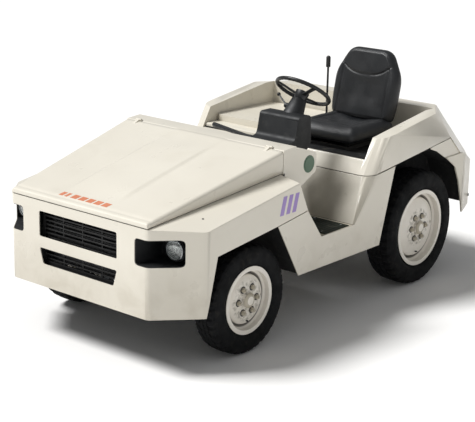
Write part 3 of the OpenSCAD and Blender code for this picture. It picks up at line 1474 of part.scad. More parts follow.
module rim(r, w) {
    half = w * rim_width_share / 2;
    seat = r - seat_drop;
    drop = seat - well_drop;
    lug = w * lug_share / 2;
    difference() {
        rotate_extrude($fn = 72) {
            polygon(strip([[r, -half], [seat, -half], [seat, -half * 0.66], [drop, -half * 0.45],
                [drop, half * 0.35], [seat, half * 0.6], [seat, half], [r, half]], rim_t));
            polygon(strip([[drop - rim_t / 2, lug * 0.3], [disc_dome_share * drop, lug * 0.45],
                [disc_dome_share * drop * 0.96, lug * 0.75], [hub_flange_r * 1.1, lug],
                [centre_r + clear, lug]], rim_t));
        }
        for (i = [0:nut_count - 1]) rotate([0, 0, (i + 0.5) * 360 / nut_count])
            translate([lug_r, 0, 0]) cylinder(h = w, r = stud_r + clear);
        translate([0, drop * valve_share, 0]) cylinder(h = w, r = valve_r);
    }
}

module hub(w, bore_r, inner_l, drum_r) {
    lug = w * lug_share / 2;
    face = lug - rim_t - clear;
    difference() {
        union() {
            rotate_extrude() polygon([[0, -inner_l], [centre_r, -inner_l], [centre_r, face - hub_flange_t],
                [hub_flange_r, face - hub_flange_t], [hub_flange_r, face], [centre_r - clear, face],
                [centre_r - clear, lug + cap_l * 0.7], [centre_r * 0.7, lug + cap_l], [0, lug + cap_l]]);
            difference() {
                translate([0, 0, face - hub_flange_t - drum_r * 0.5]) cylinder(h = drum_r * 0.5, r = drum_r);
                translate([0, 0, face - hub_flange_t - drum_r * 0.6])
                    cylinder(h = drum_r * 0.5, r = drum_r - rim_t);
            }
            for (i = [0:nut_count - 1]) rotate([0, 0, (i + 0.5) * 360 / nut_count]) translate([lug_r, 0, 0]) {
                translate([0, 0, face - rim_t]) cylinder(h = rim_t + nut_h + 3 * rim_t, r = stud_r);
                translate([0, 0, lug + clear]) cylinder(h = nut_h, r = nut_r, $fn = 6);
            }
        }
        translate([0, 0, -inner_l - overrun]) cylinder(h = inner_l + face + overrun, r = bore_r + pin_clear);
    }
}

module front_wheel_place(side) {
    placed_wheel(front_centre_x, axle_y, front_tyre_r, side) children();
}

module rear_wheel_place(side) {
    placed_wheel(rear_centre_x, rear_axle_y, rear_tyre_r, side) children();
}

module front_hub(side) {
    color("#b9b4a0") front_wheel_place(side) hub(front_tyre_w, spindle_r,
        front_centre_x - kingpin_x - fork_reach - backplate_t - clear, backplate_r - rim_t);
}

module rear_hub(side) {
    color("#b9b4a0") rear_wheel_place(side) hub(rear_tyre_w, stub_r,
        rear_centre_x - axle_tube_end_x - 2 * rear_drum_gap, backplate_r + 6 * rim_t);
}

chassis_frame();
front_axle();
leaf_springs();
rear_axle();
engine();
radiator();
gearbox();
battery();
fuel_tank();
exhaust();
front_shell();
grille_screen();
lamp_housings();
lamp_lenses();
wheelhouses();
lower_body();
floor_pan();
step_treads();
cowl();
instrument_pod();
column_shroud();
deck_shell();
deck_mat();
side_cover();
seat_rails();
rear_bumper();
tow_coupler();
tail_lamps();
side_disc();
hood();
steering_wheel();
steering_shaft();
horn_button();
left_knuckle();
right_knuckle();
tie_rod();
color("#1c1c1d") front_wheel_place(1) tyre(front_tyre_r, front_tyre_w, front_rim_r);  // front_left_tyre
color("#e5dab2") front_wheel_place(1) rim(front_rim_r, front_tyre_w);  // front_left_wheel
front_hub(1);  // front_left_hub
color("#1c1c1d") front_wheel_place(-1) tyre(front_tyre_r, front_tyre_w, front_rim_r);  // front_right_tyre
color("#e5dab2") front_wheel_place(-1) rim(front_rim_r, front_tyre_w);  // front_right_wheel
front_hub(-1);  // front_right_hub
color("#1c1c1d") rear_wheel_place(1) tyre(rear_tyre_r, rear_tyre_w, rear_rim_r);  // rear_left_tyre
color("#e5dab2") rear_wheel_place(1) rim(rear_rim_r, rear_tyre_w);  // rear_left_wheel
rear_hub(1);  // rear_left_hub
color("#1c1c1d") rear_wheel_place(-1) tyre(rear_tyre_r, rear_tyre_w, rear_rim_r);  // rear_right_tyre
color("#e5dab2") rear_wheel_place(-1) rim(rear_rim_r, rear_tyre_w);  // rear_right_wheel
rear_hub(-1);  // rear_right_hub
brake_pedal();
accelerator_pedal();
parking_lever();
shift_lever();
seat_cushion();
seat_back();
seat_pan();
tow_pin();
fan();
propeller_shaft();
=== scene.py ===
"""Looks of a low airport tow tractor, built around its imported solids, in metres. Front is -Y, left is +X."""

from collections import namedtuple
import json
import math

import bmesh
import bpy
import numpy as np
from mathutils import Matrix, Vector
from mathutils.bvhtree import BVHTree
from mathutils.kdtree import KDTree


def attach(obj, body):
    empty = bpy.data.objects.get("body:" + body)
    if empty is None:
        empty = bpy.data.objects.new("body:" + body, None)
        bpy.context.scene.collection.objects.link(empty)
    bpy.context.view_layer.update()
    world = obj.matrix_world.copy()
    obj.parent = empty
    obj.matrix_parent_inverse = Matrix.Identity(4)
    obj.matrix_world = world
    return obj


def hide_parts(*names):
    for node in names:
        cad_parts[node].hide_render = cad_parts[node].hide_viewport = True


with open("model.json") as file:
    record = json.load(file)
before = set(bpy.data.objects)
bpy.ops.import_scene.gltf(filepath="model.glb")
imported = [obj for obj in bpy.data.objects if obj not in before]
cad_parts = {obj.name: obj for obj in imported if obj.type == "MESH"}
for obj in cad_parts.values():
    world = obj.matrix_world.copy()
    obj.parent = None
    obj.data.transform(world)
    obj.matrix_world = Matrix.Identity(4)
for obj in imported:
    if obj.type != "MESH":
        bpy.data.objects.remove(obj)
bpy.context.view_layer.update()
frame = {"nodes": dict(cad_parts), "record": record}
NODES = frame["nodes"]
RECORD = frame["record"]
BODY = {n: b for b, ns in RECORD["behaviour"]["bodies"].items() for n in ns}
SLOT = {p["node"]: p["material_slot"] for p in RECORD["subparts"]}

# Main places and sizes
FRONT = -1.590
AXLE = -0.946
REAR_AXLE = 0.760
FRONT_R = 0.3165
REAR_R = 0.376
HALF_W = 0.750
FACE_HALF = 0.533
HOOD_REAR_HALF = 0.624
HOOD_REAR_Y = -0.568
HOOD_LIP = 0.042
HOOD_FRONT_Z = 0.8310
HOOD_REAR_Z = 1.097
HOOD_TOP_Z = HOOD_FRONT_Z + HOOD_LIP
HOOD_SLOPE = (HOOD_REAR_Z - HOOD_TOP_Z) / (HOOD_REAR_Y - FRONT - HOOD_LIP)
SEAM_LIFT = 0.0052
SEAT_X = 0.275


def behind(v):
    """A place v millimetres behind the front axle."""
    return AXLE + v / 1000


# Materials
def linear(hex_colour):
    values = [int(hex_colour[i:i + 2], 16) / 255 for i in (1, 3, 5)]
    return [v / 12.92 if v <= 0.04045 else ((v + 0.055) / 1.055) ** 2.4 for v in values] + [1]


class Surface:
    """A procedural material: colour layers, a roughness pattern and a chain of bumps."""

    def __init__(self, name, colour, rough, **sockets):
        self.material = bpy.data.materials.new(name)
        self.material.use_nodes = True
        self.tree = self.material.node_tree
        self.shader = self.tree.nodes["Principled BSDF"]
        self.at = self.node("ShaderNodeTexCoord").outputs["Object"]
        self.colour = linear(colour)
        self.colour_from = None
        self.normal = None
        self.shader.inputs["Base Color"].default_value = self.colour
        self.shader.inputs["Roughness"].default_value = rough
        self.rough = rough
        for key, value in sockets.items():
            self.shader.inputs[key.replace("_", " ")].default_value = value

    def node(self, kind, links=None, **settings):
        n = self.tree.nodes.new(kind)
        for key, value in settings.items():
            if hasattr(n, key):
                setattr(n, key, value)
            else:
                n.inputs[key].default_value = value
        for key, source in (links or {}).items():
            self.tree.links.new(source, n.inputs[key])
        return n

    def stretched(self, scale):
        return self.node("ShaderNodeMapping", {"Vector": self.at}, Scale=scale).outputs["Vector"]

    def noise(self, scale, detail=3.0, distortion=0.0, at=None):
        return self.node("ShaderNodeTexNoise", {"Vector": at or self.at}, Scale=scale, Detail=detail,
                         Distortion=distortion).outputs["Fac"]

    def cells(self, scale, feature="F1", at=None):
        return self.node("ShaderNodeTexVoronoi", {"Vector": at or self.at}, Scale=scale,
                         feature=feature).outputs["Distance"]

    def span(self, value, low, high, to_low=0.0, to_high=1.0):
        n = self.node("ShaderNodeMapRange", {"Value": value}, interpolation_type="SMOOTHSTEP")
        for key, v in (("From Min", low), ("From Max", high), ("To Min", to_low), ("To Max", to_high)):
            n.inputs[key].default_value = v
        return n.outputs["Result"]

    def times(self, a, b):
        n = self.node("ShaderNodeMath", operation="MULTIPLY")
        self.tree.links.new(a, n.inputs[0])
        if isinstance(b, float):
            n.inputs[1].default_value = b
        else:
            self.tree.links.new(b, n.inputs[1])
        return n.outputs[0]

    def axis(self, name):
        return self.node("ShaderNodeSeparateXYZ", {"Vector": self.at}).outputs[name]

    def radius(self, y, z):
        """Distance from a line along X through the given place."""
        split = self.node("ShaderNodeSeparateXYZ", {"Vector": self.at})
        flat = self.node("ShaderNodeCombineXYZ", {"Y": split.outputs["Y"], "Z": split.outputs["Z"]})
        away = self.node("ShaderNodeVectorMath", {0: flat.outputs[0]}, operation="DISTANCE")
        away.inputs[1].default_value = (0, y, z)
        return away.outputs["Value"]

    def band(self, value, low, high, soft):
        """1 between two values, falling to 0 on both sides."""
        return self.times(self.span(value, low - soft, low), self.span(value, high + soft, high))

    def facing(self, name, low, high):
        """How much the surface faces along an axis, from 0 at low to 1 at high."""
        normal = self.node("ShaderNodeNewGeometry").outputs["Normal"]
        return self.span(self.node("ShaderNodeSeparateXYZ", {"Vector": normal}).outputs[name], low, high)

    def layer(self, mask, colour, amount=1.0):
        """Lays a colour over what is there, where the mask is high."""
        n = self.node("ShaderNodeMix", data_type="RGBA")
        self.tree.links.new(self.times(mask, amount), n.inputs["Factor"])
        if self.colour_from is None:
            n.inputs[6].default_value = self.colour
        else:
            self.tree.links.new(self.colour_from, n.inputs[6])
        n.inputs[7].default_value = linear(colour)
        self.colour_from = n.outputs[2]
        self.tree.links.new(self.colour_from, self.shader.inputs["Base Color"])
        return self

    def patchy(self, scale, spread, detail=4.0):
        """Roughness that varies in soft patches."""
        value = self.span(self.noise(scale, detail), 0.3, 0.7, self.rough - spread, self.rough + spread)
        self.tree.links.new(value, self.shader.inputs["Roughness"])
        return self

    def bump(self, height, strength, distance):
        links = {"Height": height}
        if self.normal is not None:
            links["Normal"] = self.normal
        n = self.node("ShaderNodeBump", links, Strength=strength, Distance=distance)
        self.normal = n.outputs["Normal"]
        self.tree.links.new(self.normal, self.shader.inputs["Normal"])
        return self


def paint(name, colour, light, dark, rough=0.34, dirt_and_shade=0.5, coat=0.35, more=None):
    s = Surface(name, colour, rough, Coat_Weight=coat, Coat_Roughness=0.12)
    s.layer(s.span(s.noise(1.7, 3), 0.35, 0.75), light, 0.5)
    s.layer(s.span(s.noise(5.5, 5, 0.4), 0.5, 0.8), dark, 0.28)
    # Darker towards the bottom: the even layer is painted shade; the patchy layer and the specks are dirt.
    low = s.span(s.axis("Z"), 0.72, 0.34)
    s.layer(low, "#a9a08e", dirt_and_shade * 0.55)
    s.layer(s.times(low, s.span(s.noise(7.0, 6, 0.6), 0.38, 0.72)), "#9b8f78", dirt_and_shade * 0.5)
    specks = s.span(s.cells(95.0), 0.055, 0.03)
    s.layer(s.times(specks, s.span(s.noise(11.0, 2), 0.5, 0.62)), "#857a66", dirt_and_shade * 0.5)
    if more:
        more(s)
    s.patchy(6.0, 0.07)
    s.bump(s.noise(420.0, 2), 0.035, 0.0006)
    s.bump(s.noise(2.6, 2), 0.02, 0.01)
    return s.material


def forward_face_shade(s):
    """Painted shade, in patches, on the side body's faces that look forwards, darker towards their foot."""
    front = s.times(s.facing("Y", -0.25, -0.6), s.band(s.axis("Z"), 0.40, 0.86, 0.05))
    s.layer(s.times(front, s.span(s.noise(5.0, 4), 0.1, 0.7)), "#a29c8e", 0.7)
    s.layer(s.times(front, s.span(s.axis("Z"), 0.74, 0.58)), "#8f897b", 0.4)


def rim_dust_and_shade(y, z, gap):
    """Painted shade in the ring between a wheel's disc and its flange, and brake dust round the nuts and over
    the disc.
    """
    def add(s):
        r = s.radius(y, z)
        # Painted shade in the recess between the disc and the flange.
        s.layer(s.band(r, gap - 0.004, gap + 0.006, 0.006), "#2c2822", 0.85)
        dusty = s.span(s.noise(38.0, 4, 0.5), 0.42, 0.66)
        s.layer(s.times(s.band(r, 0.045, 0.112, 0.02), dusty), "#837b6b", 0.6)
        s.layer(s.times(s.span(r, 0.20, 0.05), s.span(s.noise(16.0, 5), 0.45, 0.75)), "#b0a895", 0.3)
    return add


def satin(name, colour, light, rough=0.5, grain=900.0, dust="#8a8378", dusty=0.2, metal=0.0, bumps=0.25):
    s = Surface(name, colour, rough, Metallic=metal)
    s.layer(s.span(s.noise(9.0, 4), 0.35, 0.7), light, 0.6)
    s.layer(s.span(s.noise(23.0, 6, 0.5), 0.55, 0.75), dust, dusty)
    s.patchy(14.0, 0.09)
    s.bump(s.noise(grain, 3), bumps, 0.0004)
    return s.material


def brushed(name, colour, light, rough=0.33, along=(4.0, 260.0, 260.0)):
    s = Surface(name, colour, rough, Metallic=1.0)
    streaks = s.noise(3.0, 5, 0.0, s.stretched(along))
    s.layer(s.span(streaks, 0.3, 0.7), light, 0.7)
    s.layer(s.span(s.noise(18.0, 5, 0.4), 0.55, 0.8), "#5b5147", 0.35)
    s.patchy(30.0, 0.1)
    s.bump(streaks, 0.12, 0.0003)
    return s.material


def cast(name, colour, light):
    s = Surface(name, colour, 0.62, Metallic=0.2)
    s.layer(s.span(s.noise(13.0, 5), 0.35, 0.7), light, 0.7)
    s.layer(s.span(s.noise(31.0, 6, 0.6), 0.56, 0.74), "#6b5a48", 0.35)
    s.patchy(20.0, 0.1)
    s.bump(s.noise(260.0, 4), 0.45, 0.0012)
    s.bump(s.cells(520.0), 0.2, 0.0005)
    return s.material


def tyre_surface():
    s = Surface("tyre_compound", "#0c0d0e", 0.85, Specular_IOR_Level=0.2)
    s.layer(s.span(s.noise(6.0, 5), 0.35, 0.7), "#17181a", 0.8)
    s.layer(s.span(s.noise(34.0, 6, 0.8), 0.52, 0.74), "#37332d", 0.3)
    s.layer(s.span(s.cells(140.0), 0.10, 0.04), "#26241f", 0.6)
    s.patchy(16.0, 0.1)
    s.bump(s.noise(560.0, 4), 0.3, 0.0006)
    s.bump(s.noise(60.0, 3), 0.1, 0.0012)
    return s.material


def vinyl_surface():
    s = Surface("seat_leathercloth", "#101215", 0.42, Specular_IOR_Level=0.6)
    s.layer(s.span(s.noise(5.0, 4), 0.35, 0.7), "#1e2124", 0.7)
    s.layer(s.span(s.noise(2.2, 3, 0.5), 0.5, 0.8), "#2b2e31", 0.3)
    s.layer(s.span(s.cells(560.0, "DISTANCE_TO_EDGE"), 0.05, 0.0), "#0e0f11", 0.5)
    s.patchy(9.0, 0.08)
    s.bump(s.span(s.cells(560.0, "DISTANCE_TO_EDGE"), 0.0, 0.22), 0.32, 0.0006)
    s.bump(s.noise(46.0, 4, 0.6), 0.09, 0.002)
    return s.material


def rubber_surface(name, colour, light, ribs=0.0, grit=0.0):
    s = Surface(name, colour, 0.82, Specular_IOR_Level=0.3)
    s.layer(s.span(s.noise(8.0, 5), 0.35, 0.7), light, 0.8)
    s.layer(s.span(s.noise(22.0, 6, 0.8), 0.52, 0.76), "#6a6457", 0.3)
    s.patchy(18.0, 0.08)
    if ribs:
        wave = s.node("ShaderNodeTexWave", {"Vector": s.at}, Scale=ribs, bands_direction="X",
                      wave_profile="SIN")
        s.bump(wave.outputs["Fac"], 0.5, 0.002)
    if grit:
        s.layer(s.span(s.cells(grit), 0.24, 0.1), "#50544a", 0.6)
        s.bump(s.span(s.cells(grit), 0.5, 0.1), 0.7, 0.0012)
    s.bump(s.noise(700.0, 3), 0.3, 0.0004)
    return s.material


def clear_plastic(name, colour, rough, transmission):
    s = Surface(name, colour, rough, Transmission_Weight=transmission, IOR=1.49, Coat_Weight=0.5)
    s.layer(s.span(s.noise(30.0, 4), 0.5, 0.8), "#cfd2cf" if transmission > 0.5 else colour, 0.3)
    s.patchy(30.0, min(0.03, rough * 0.5))
    s.bump(s.noise(90.0, 2), 0.05, 0.0005)
    return s.material


MATERIAL = {
    "cream_paint": paint("cream_enamel", "#e0dacc", "#e8e3d6", "#d2cbbb"),
    "cover_paint": paint("cream_enamel_rear", "#dad4c5", "#e2dccf", "#cbc4b2", 0.4, 0.6, 0.25),
    "floor_paint": paint("step_floor_enamel", "#bdb5a2", "#cac2b0", "#9f9784", 0.5, 1.0, 0.1),
    "frame_black": satin("chassis_paint", "#242527", "#303134", 0.5, 600.0, "#6b6357", 0.4),
    "black_steel": satin("black_steel_paint", "#101112", "#17181a", 0.52, 700.0, "#55514a", 0.2),
    "spring_steel": satin("spring_steel_scale", "#3a3b3e", "#4a4a4c", 0.48, 400.0, "#6a5a49", 0.5, 0.6),
    "cast_black": cast("cast_black_paint", "#262729", "#333436"),
    "engine_grey": cast("engine_paint", "#4c5257", "#5d6469"),
    "cast_grey": cast("gearbox_cast", "#5a5e62", "#6d7276"),
    "tank_grey": satin("tank_paint", "#36393c", "#44484b", 0.45, 500.0, "#6d665a", 0.3),
    "exhaust_steel": brushed("exhaust_pipe", "#7a736c", "#9a8f84", 0.45),
    "bare_steel": brushed("bright_steel", "#9a9da0", "#b9bcbe", 0.3),
    "hub_steel": paint("hub_enamel", "#cfc7b4", "#dad2c0", "#b3aa95", 0.42, 0.9, 0.2),
    # The side body's enamel carries painted shade on its forward faces.
    "side_paint": paint("cream_enamel_side", "#dcd6c8", "#e4dfd2", "#cfc8b7", more=forward_face_shade),
    # The rims' cream is lighter than the body's: painted light that makes up for the shade in the rim well.
    "front_rim": paint("rim_enamel_front", "#f0eadf", "#f4efe6", "#ddd6c8", 0.42, 0.1, 0.2,
                       rim_dust_and_shade(AXLE, FRONT_R, 0.152)),
    "rear_rim": paint("rim_enamel_rear", "#f0eadf", "#f4efe6", "#ddd6c8", 0.42, 0.1, 0.2,
                      rim_dust_and_shade(REAR_AXLE, REAR_R, 0.203)),
    "black_plastic": satin("black_moulding", "#141618", "#1e2022", 0.58, 1100.0, "#5c5b58", 0.14, 0.0, 0.5),
    "grip_black": satin("black_grip", "#131415", "#1e2021", 0.42, 1300.0, "#45433f", 0.12, 0.0, 0.3),
    "grey_plastic": satin("grey_moulding", "#55575a", "#66696c", 0.5, 1100.0, "#77736c", 0.2),
    "green_plastic": satin("green_plate", "#47654e", "#527258", 0.35, 300.0, "#34503c", 0.4, 0.0, 0.1),
    "red_plastic": clear_plastic("red_lens", "#8f1a14", 0.16, 0.25),
    "fan_plastic": satin("fan_moulding", "#c9cac8", "#d9dad8", 0.5, 900.0, "#8d8577", 0.4),
    "liner_black": satin("wheelhouse_coating", "#131314", "#1d1d1e", 0.85, 260.0, "#4c463d", 0.35, 0.0, 0.6),
    "tread_rubber": rubber_surface("grit_tread", "#22261f", "#2e332a", 0.0, 420.0),
    "mat_rubber": rubber_surface("ribbed_mat", "#191a1b", "#262728", 22.0),
    "pedal_rubber": rubber_surface("pedal_pad", "#1b1b1c", "#2a2a2b", 45.0),
    "tyre_rubber": tyre_surface(),
    "seat_vinyl": vinyl_surface(),
    "lever_black": satin("lever_paint", "#1b1b1c", "#2a2a2b", 0.4, 900.0, "#59544c", 0.2),
    "lamp_glass": clear_plastic("lamp_lens", "#eef0ee", 0.06, 0.92),
}
REFLECTOR = brushed("lamp_reflector", "#d5d8da", "#e8eaeb", 0.16, (40.0, 40.0, 40.0))
PURPLE = satin("purple_film", "#9a82c2", "#a892cc", 0.4, 300.0, "#8570ab", 0.2, 0.0, 0.05)
ORANGE = satin("orange_film", "#cf7f5e", "#d98d6d", 0.4, 300.0, "#b76d4e", 0.2, 0.0, 0.05)
GRILLE = satin("grille_black", "#0a0a0b", "#101011", 0.55, 700.0, "#2b2925", 0.2)
DARK = satin("shadow_rubber", "#0e0e0f", "#151516", 0.8, 500.0, "#222222", 0.2)


# Mesh helpers
def finish_piece(obj, material, body, slot, stands_for=()):
    obj.data.materials.clear()
    obj.data.materials.append(MATERIAL[material] if isinstance(material, str) else material)
    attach(obj, body)
    if stands_for:
        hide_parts(*stands_for)
    return obj


def new_object(name, data):
    obj = bpy.data.objects.new(name, data)
    bpy.context.scene.collection.objects.link(obj)
    return obj


def mesh_object(name, points, faces, sharp=35):
    mesh = bpy.data.meshes.new(name)
    mesh.from_pydata([tuple(p) for p in points], [], faces)
    mesh.validate()
    bm = bmesh.new()
    bm.from_mesh(mesh)
    bmesh.ops.remove_doubles(bm, verts=bm.verts, dist=1e-6)
    bmesh.ops.recalc_face_normals(bm, faces=bm.faces)
    bm.to_mesh(mesh)
    bm.free()
    mesh.shade_smooth()
    mesh.set_sharp_from_angle(angle=math.radians(sharp))
    return new_object(name, mesh)


def soften(obj, width, segments=2, angle=32):
    mod = obj.modifiers.new("edges", "BEVEL")
    mod.width = width
    mod.segments = segments
    mod.limit_method = "ANGLE"
    mod.angle_limit = math.radians(angle)
    mod.use_clamp_overlap = True
    mod.harden_normals = True
    return obj


def shown_points(obj):
    shape = obj.evaluated_get(bpy.context.evaluated_depsgraph_get())
    mesh = shape.to_mesh()
    flat = np.empty(len(mesh.vertices) * 3)
    mesh.vertices.foreach_get("co", flat)
    shape.to_mesh_clear()
    return flat.reshape(-1, 3)


def settle_rounding(obj, big):
    """Takes the rounding off the edges round a corner where it would fold out of the surface or cut deep."""
    mesh = obj.data
    source = BVHTree.FromPolygons([v.co for v in mesh.vertices], [p.vertices for p in mesh.polygons])
    weights = np.zeros(len(mesh.edges))
    mesh.attributes["bevel_weight_edge"].data.foreach_get("value", weights)
    ends = np.array([e.vertices for e in mesh.edges])
    for turn in range(14):
        bad = set()
        used = sorted(set(ends[weights > 0].ravel()))
        if not used:
            return
        near = KDTree(len(used))
        for i in used:
            near.insert(mesh.vertices[i].co, i)
        near.balance()
        for point in shown_points(obj):
            place, normal, _, away = source.find_nearest(Vector(point))
            if away < 0.0004 or (away < 0.6 * big and (Vector(point) - place).dot(normal) < 0):
                continue
            bad |= {i for _, i, _ in near.find_n(place, 1 if turn < 8 else 3)}
        if not bad:
            return
        weights[np.isin(ends, list(bad)).any(axis=1)] = 0
        mesh.attributes["bevel_weight_edge"].data.foreach_set("value", weights)
        mesh.update()
        obj.update_tag()
    print("rounding left out:", obj.name)
    obj.modifiers.clear()


def dress(node, big=0.003, small=0.0008, area=0.01, segments=3, material=None, inlay=None):
    """A finished skin for a CAD node: the same surfaces with their flats joined and their edges rounded.
    Outer edges between two large faces get the big radius, the others the small one. inlay is a test for the
    faces that have another finish, and that finish."""
    bm = bmesh.new()
    bm.from_mesh(NODES[node].data)
    bmesh.ops.remove_doubles(bm, verts=bm.verts, dist=1.5e-5)
    bmesh.ops.dissolve_limit(bm, angle_limit=math.radians(0.5), verts=bm.verts, edges=bm.edges)
    weight = bm.edges.layers.float.new("bevel_weight_edge")
    for e in bm.edges:
        if len(e.link_faces) != 2 or e.calc_face_angle() < math.radians(28):
            continue
        large = min(f.calc_area() for f in e.link_faces) > area and e.calc_length() > 0.05
        if large and e.is_convex:
            e[weight] = 1.0
        elif e.calc_length() > 2 * small:
            e[weight] = small / big
    for f in bm.faces:
        f.material_index = 1 if inlay and inlay[0](f.calc_center_median()) else 0
    mesh = bpy.data.meshes.new(node + "_skin")
    bm.to_mesh(mesh)
    bm.free()
    mesh.shade_smooth()
    mesh.set_sharp_from_angle(angle=math.radians(28))
    obj = new_object(node + "_skin", mesh)
    mod = obj.modifiers.new("edges", "BEVEL")
    mod.width = big
    mod.segments = segments
    mod.limit_method = "WEIGHT"
    mod.use_clamp_overlap = False
    mod.harden_normals = True
    settle_rounding(obj, big)
    finish_piece(obj, material or SLOT[node], BODY[node], SLOT[node], (node,))
    if inlay:
        mesh.materials.append(MATERIAL[inlay[1]])
    return obj


def piece(name, points, faces, sharp, material, body, slot=None, stands_for=()):
    """A mesh with its finish, on a body; its slot argument is not used."""
    return finish_piece(mesh_object(name, points, faces, sharp), material, body, slot or material, stands_for)


def grid_faces(rows, columns, wrap_rows=False, wrap_columns=False):
    faces = []
    for i in range(rows if wrap_rows else rows - 1):
        for j in range(columns if wrap_columns else columns - 1):
            a, b = i, (i + 1) % rows
            c, d = j, (j + 1) % columns
            faces.append((a * columns + c, a * columns + d, b * columns + d, b * columns + c))
    return faces


def revolve(profile, count, place, closed=True):
    """A profile of (radius, height) turned round the local Z axis and put in place by a matrix."""
    points = []
    for k in range(count):
        a = 2 * math.pi * k / count
        points += [place @ Vector((r * math.cos(a), r * math.sin(a), h)) for r, h in profile]
    return points, grid_faces(count, len(profile), True, closed)


def turned(name, profile, place, material, body="chassis", count=48, closed=False, sharp=35, slot=None,
           stands_for=()):
    """A piece turned round the local Z axis of its place."""
    points, faces = revolve(profile, count, place, closed)
    return piece(name, points, faces, sharp, material, body, slot, stands_for)


def standing(spot, direction):
    """A place at a spot, with the local Z axis along a direction."""
    return Matrix.Translation(spot) @ direction.to_track_quat("Z", "Y").to_matrix().to_4x4()


def prism_faces(n):
    """Two ends with n corners and the sides between them, for points listed end by end."""
    sides = [(i, (i + 1) % n, n + (i + 1) % n, n + i) for i in range(n)]
    return [tuple(range(n)), tuple(range(2 * n - 1, n - 1, -1))] + sides


def spline(points, steps):
    """A smooth line through the points."""
    p = [np.array(q, float) for q in points]
    p = [2 * p[0] - p[1]] + p + [2 * p[-1] - p[-2]]
    line = []
    for i in range(1, len(p) - 2):
        for k in range(steps):
            t = k / steps
            line.append(0.5 * ((2 * p[i]) + (-p[i - 1] + p[i + 1]) * t
                               + (2 * p[i - 1] - 5 * p[i] + 4 * p[i + 1] - p[i + 2]) * t * t
                               + (-p[i - 1] + 3 * p[i] - 3 * p[i + 1] + p[i + 2]) * t ** 3))
    line.append(p[-2])
    return line


def smooth(low, high, x):
    t = min(1.0, max(0.0, (x - low) / (high - low)))
    return t * t * (3 - 2 * t)


# Hood
def seam_z(y):
    rear = 0.96125 - HOOD_FRONT_Z
    return HOOD_FRONT_Z + SEAM_LIFT + rear * (y - FRONT) / 1.02


def hood_half(y):
    """Half the hood's width."""
    return FACE_HALF + (HOOD_REAR_HALF - FACE_HALF) * (y - FRONT) / (HOOD_REAR_Y - FRONT)


def hood_plane(y):
    """Height of the hood's sloping top without its crown."""
    return HOOD_TOP_Z + HOOD_SLOPE * (y - FRONT - HOOD_LIP)


def hood_section(y, top, drop):
    """One cross line of the hood's outside, from the left seam over the top to the right seam."""
    half = hood_half(y) - drop
    low = seam_z(y)
    high = max(top, low + 0.0008)
    r = min(0.02, 0.55 * (high - low))
    side = [(half, low)]
    for k in range(1, 3):
        side.append((half, low + (high - r - low) * k / 3))
    for k in range(7):
        a = math.pi / 2 * k / 6
        side.append((half - r + r * math.cos(a), high - r + r * math.sin(a)))
    inner = half - r
    crease = [0.975, 0.95, 0.9, 0.8, 0.6, 0.45, 0.40, 0.375, 0.35, 0.33, 0.315, 0.30, 0.25, 0.15, 0.05]
    line = side + [(inner * c, high) for c in crease]
    line += [(-x, z) for x, z in reversed(line)]
    return [(x, y, z + hood_crown(x, y) if z > high - 1e-6 else z) for x, z in line]


def hood_crown(x, y):
    """A slightly raised middle panel between two soft creases, and a faint arch across the whole top."""
    along = smooth(-1.50, -1.30, y) * (1 - 0.75 * smooth(-0.86, -0.64, y))
    middle = 1 - smooth(0.184, 0.202, abs(x))
    return 0.0105 * along * middle + 0.0018 * smooth(FRONT + 0.05, FRONT + 0.4, y) * (1 - (x / 0.64) ** 2)


def build_hood():
    rows = []
    for z in (0.0, 0.006, 0.012):
        rows.append((FRONT + 0.04 * z, HOOD_FRONT_Z + SEAM_LIFT + z, 0.0))
    lip_low = HOOD_FRONT_Z + 0.024
    for k in range(9):
        a = math.pi / 2 * k / 8
        depth = 0.0006 + HOOD_LIP * (1 - math.cos(a)) * 0.88
        rows.append((FRONT + depth, lip_low + (HOOD_TOP_Z - 0.0035 - lip_low) * math.sin(a), 0.0))
    for k in range(41):
        y = FRONT + HOOD_LIP + (HOOD_REAR_Y - 0.004 - FRONT - HOOD_LIP) * k / 40
        rows.append((y, hood_plane(y), 0.0))
    rows.append((HOOD_REAR_Y, HOOD_REAR_Z - 0.003, 0.0008))
    points = []
    for y, top, drop in rows:
        points += hood_section(y, top, drop)
    columns = len(points) // len(rows)
    obj = mesh_object("hood_shell", points, grid_faces(len(rows), columns), 50)
    mod = obj.modifiers.new("sheet", "SOLIDIFY")
    mod.thickness = 0.0045
    mod.offset = -1
    if sum(p.normal.z * p.area for p in obj.data.polygons) < 0:
        obj.data.flip_normals()
    finish_piece(obj, "cream_paint", "hood", "cream_paint", ("hood",))


def build_hinges():
    """A flat hinge strap with a rolled eye at each rear corner of the hood."""
    y0, z0, r, w = -0.5675, 1.1045, 0.0072, 0.020
    for side in (-1, 1):
        x = side * 0.520
        outline = [(-0.046, -0.0198), (-0.046, -0.0170), (-0.012, 0.0012), (-0.0066, 0.0038)]
        outline += [(r * math.cos(math.radians(a)), r * math.sin(math.radians(a)))
                    for a in range(140, -101, -20)]
        outline += [(-0.006, -0.0105), (-0.012, -0.0100)]
        strap = [(y0 + a, z0 + b) for a, b in outline]
        points = [(x + s * w / 2, y, z) for s in (-1, 1) for y, z in strap]
        name = f"hood_hinge_{'left' if side > 0 else 'right'}"
        obj = soften(mesh_object(name, points, prism_faces(len(strap))), 0.0008)
        finish_piece(obj, "cream_paint", "hood", "cream_paint")


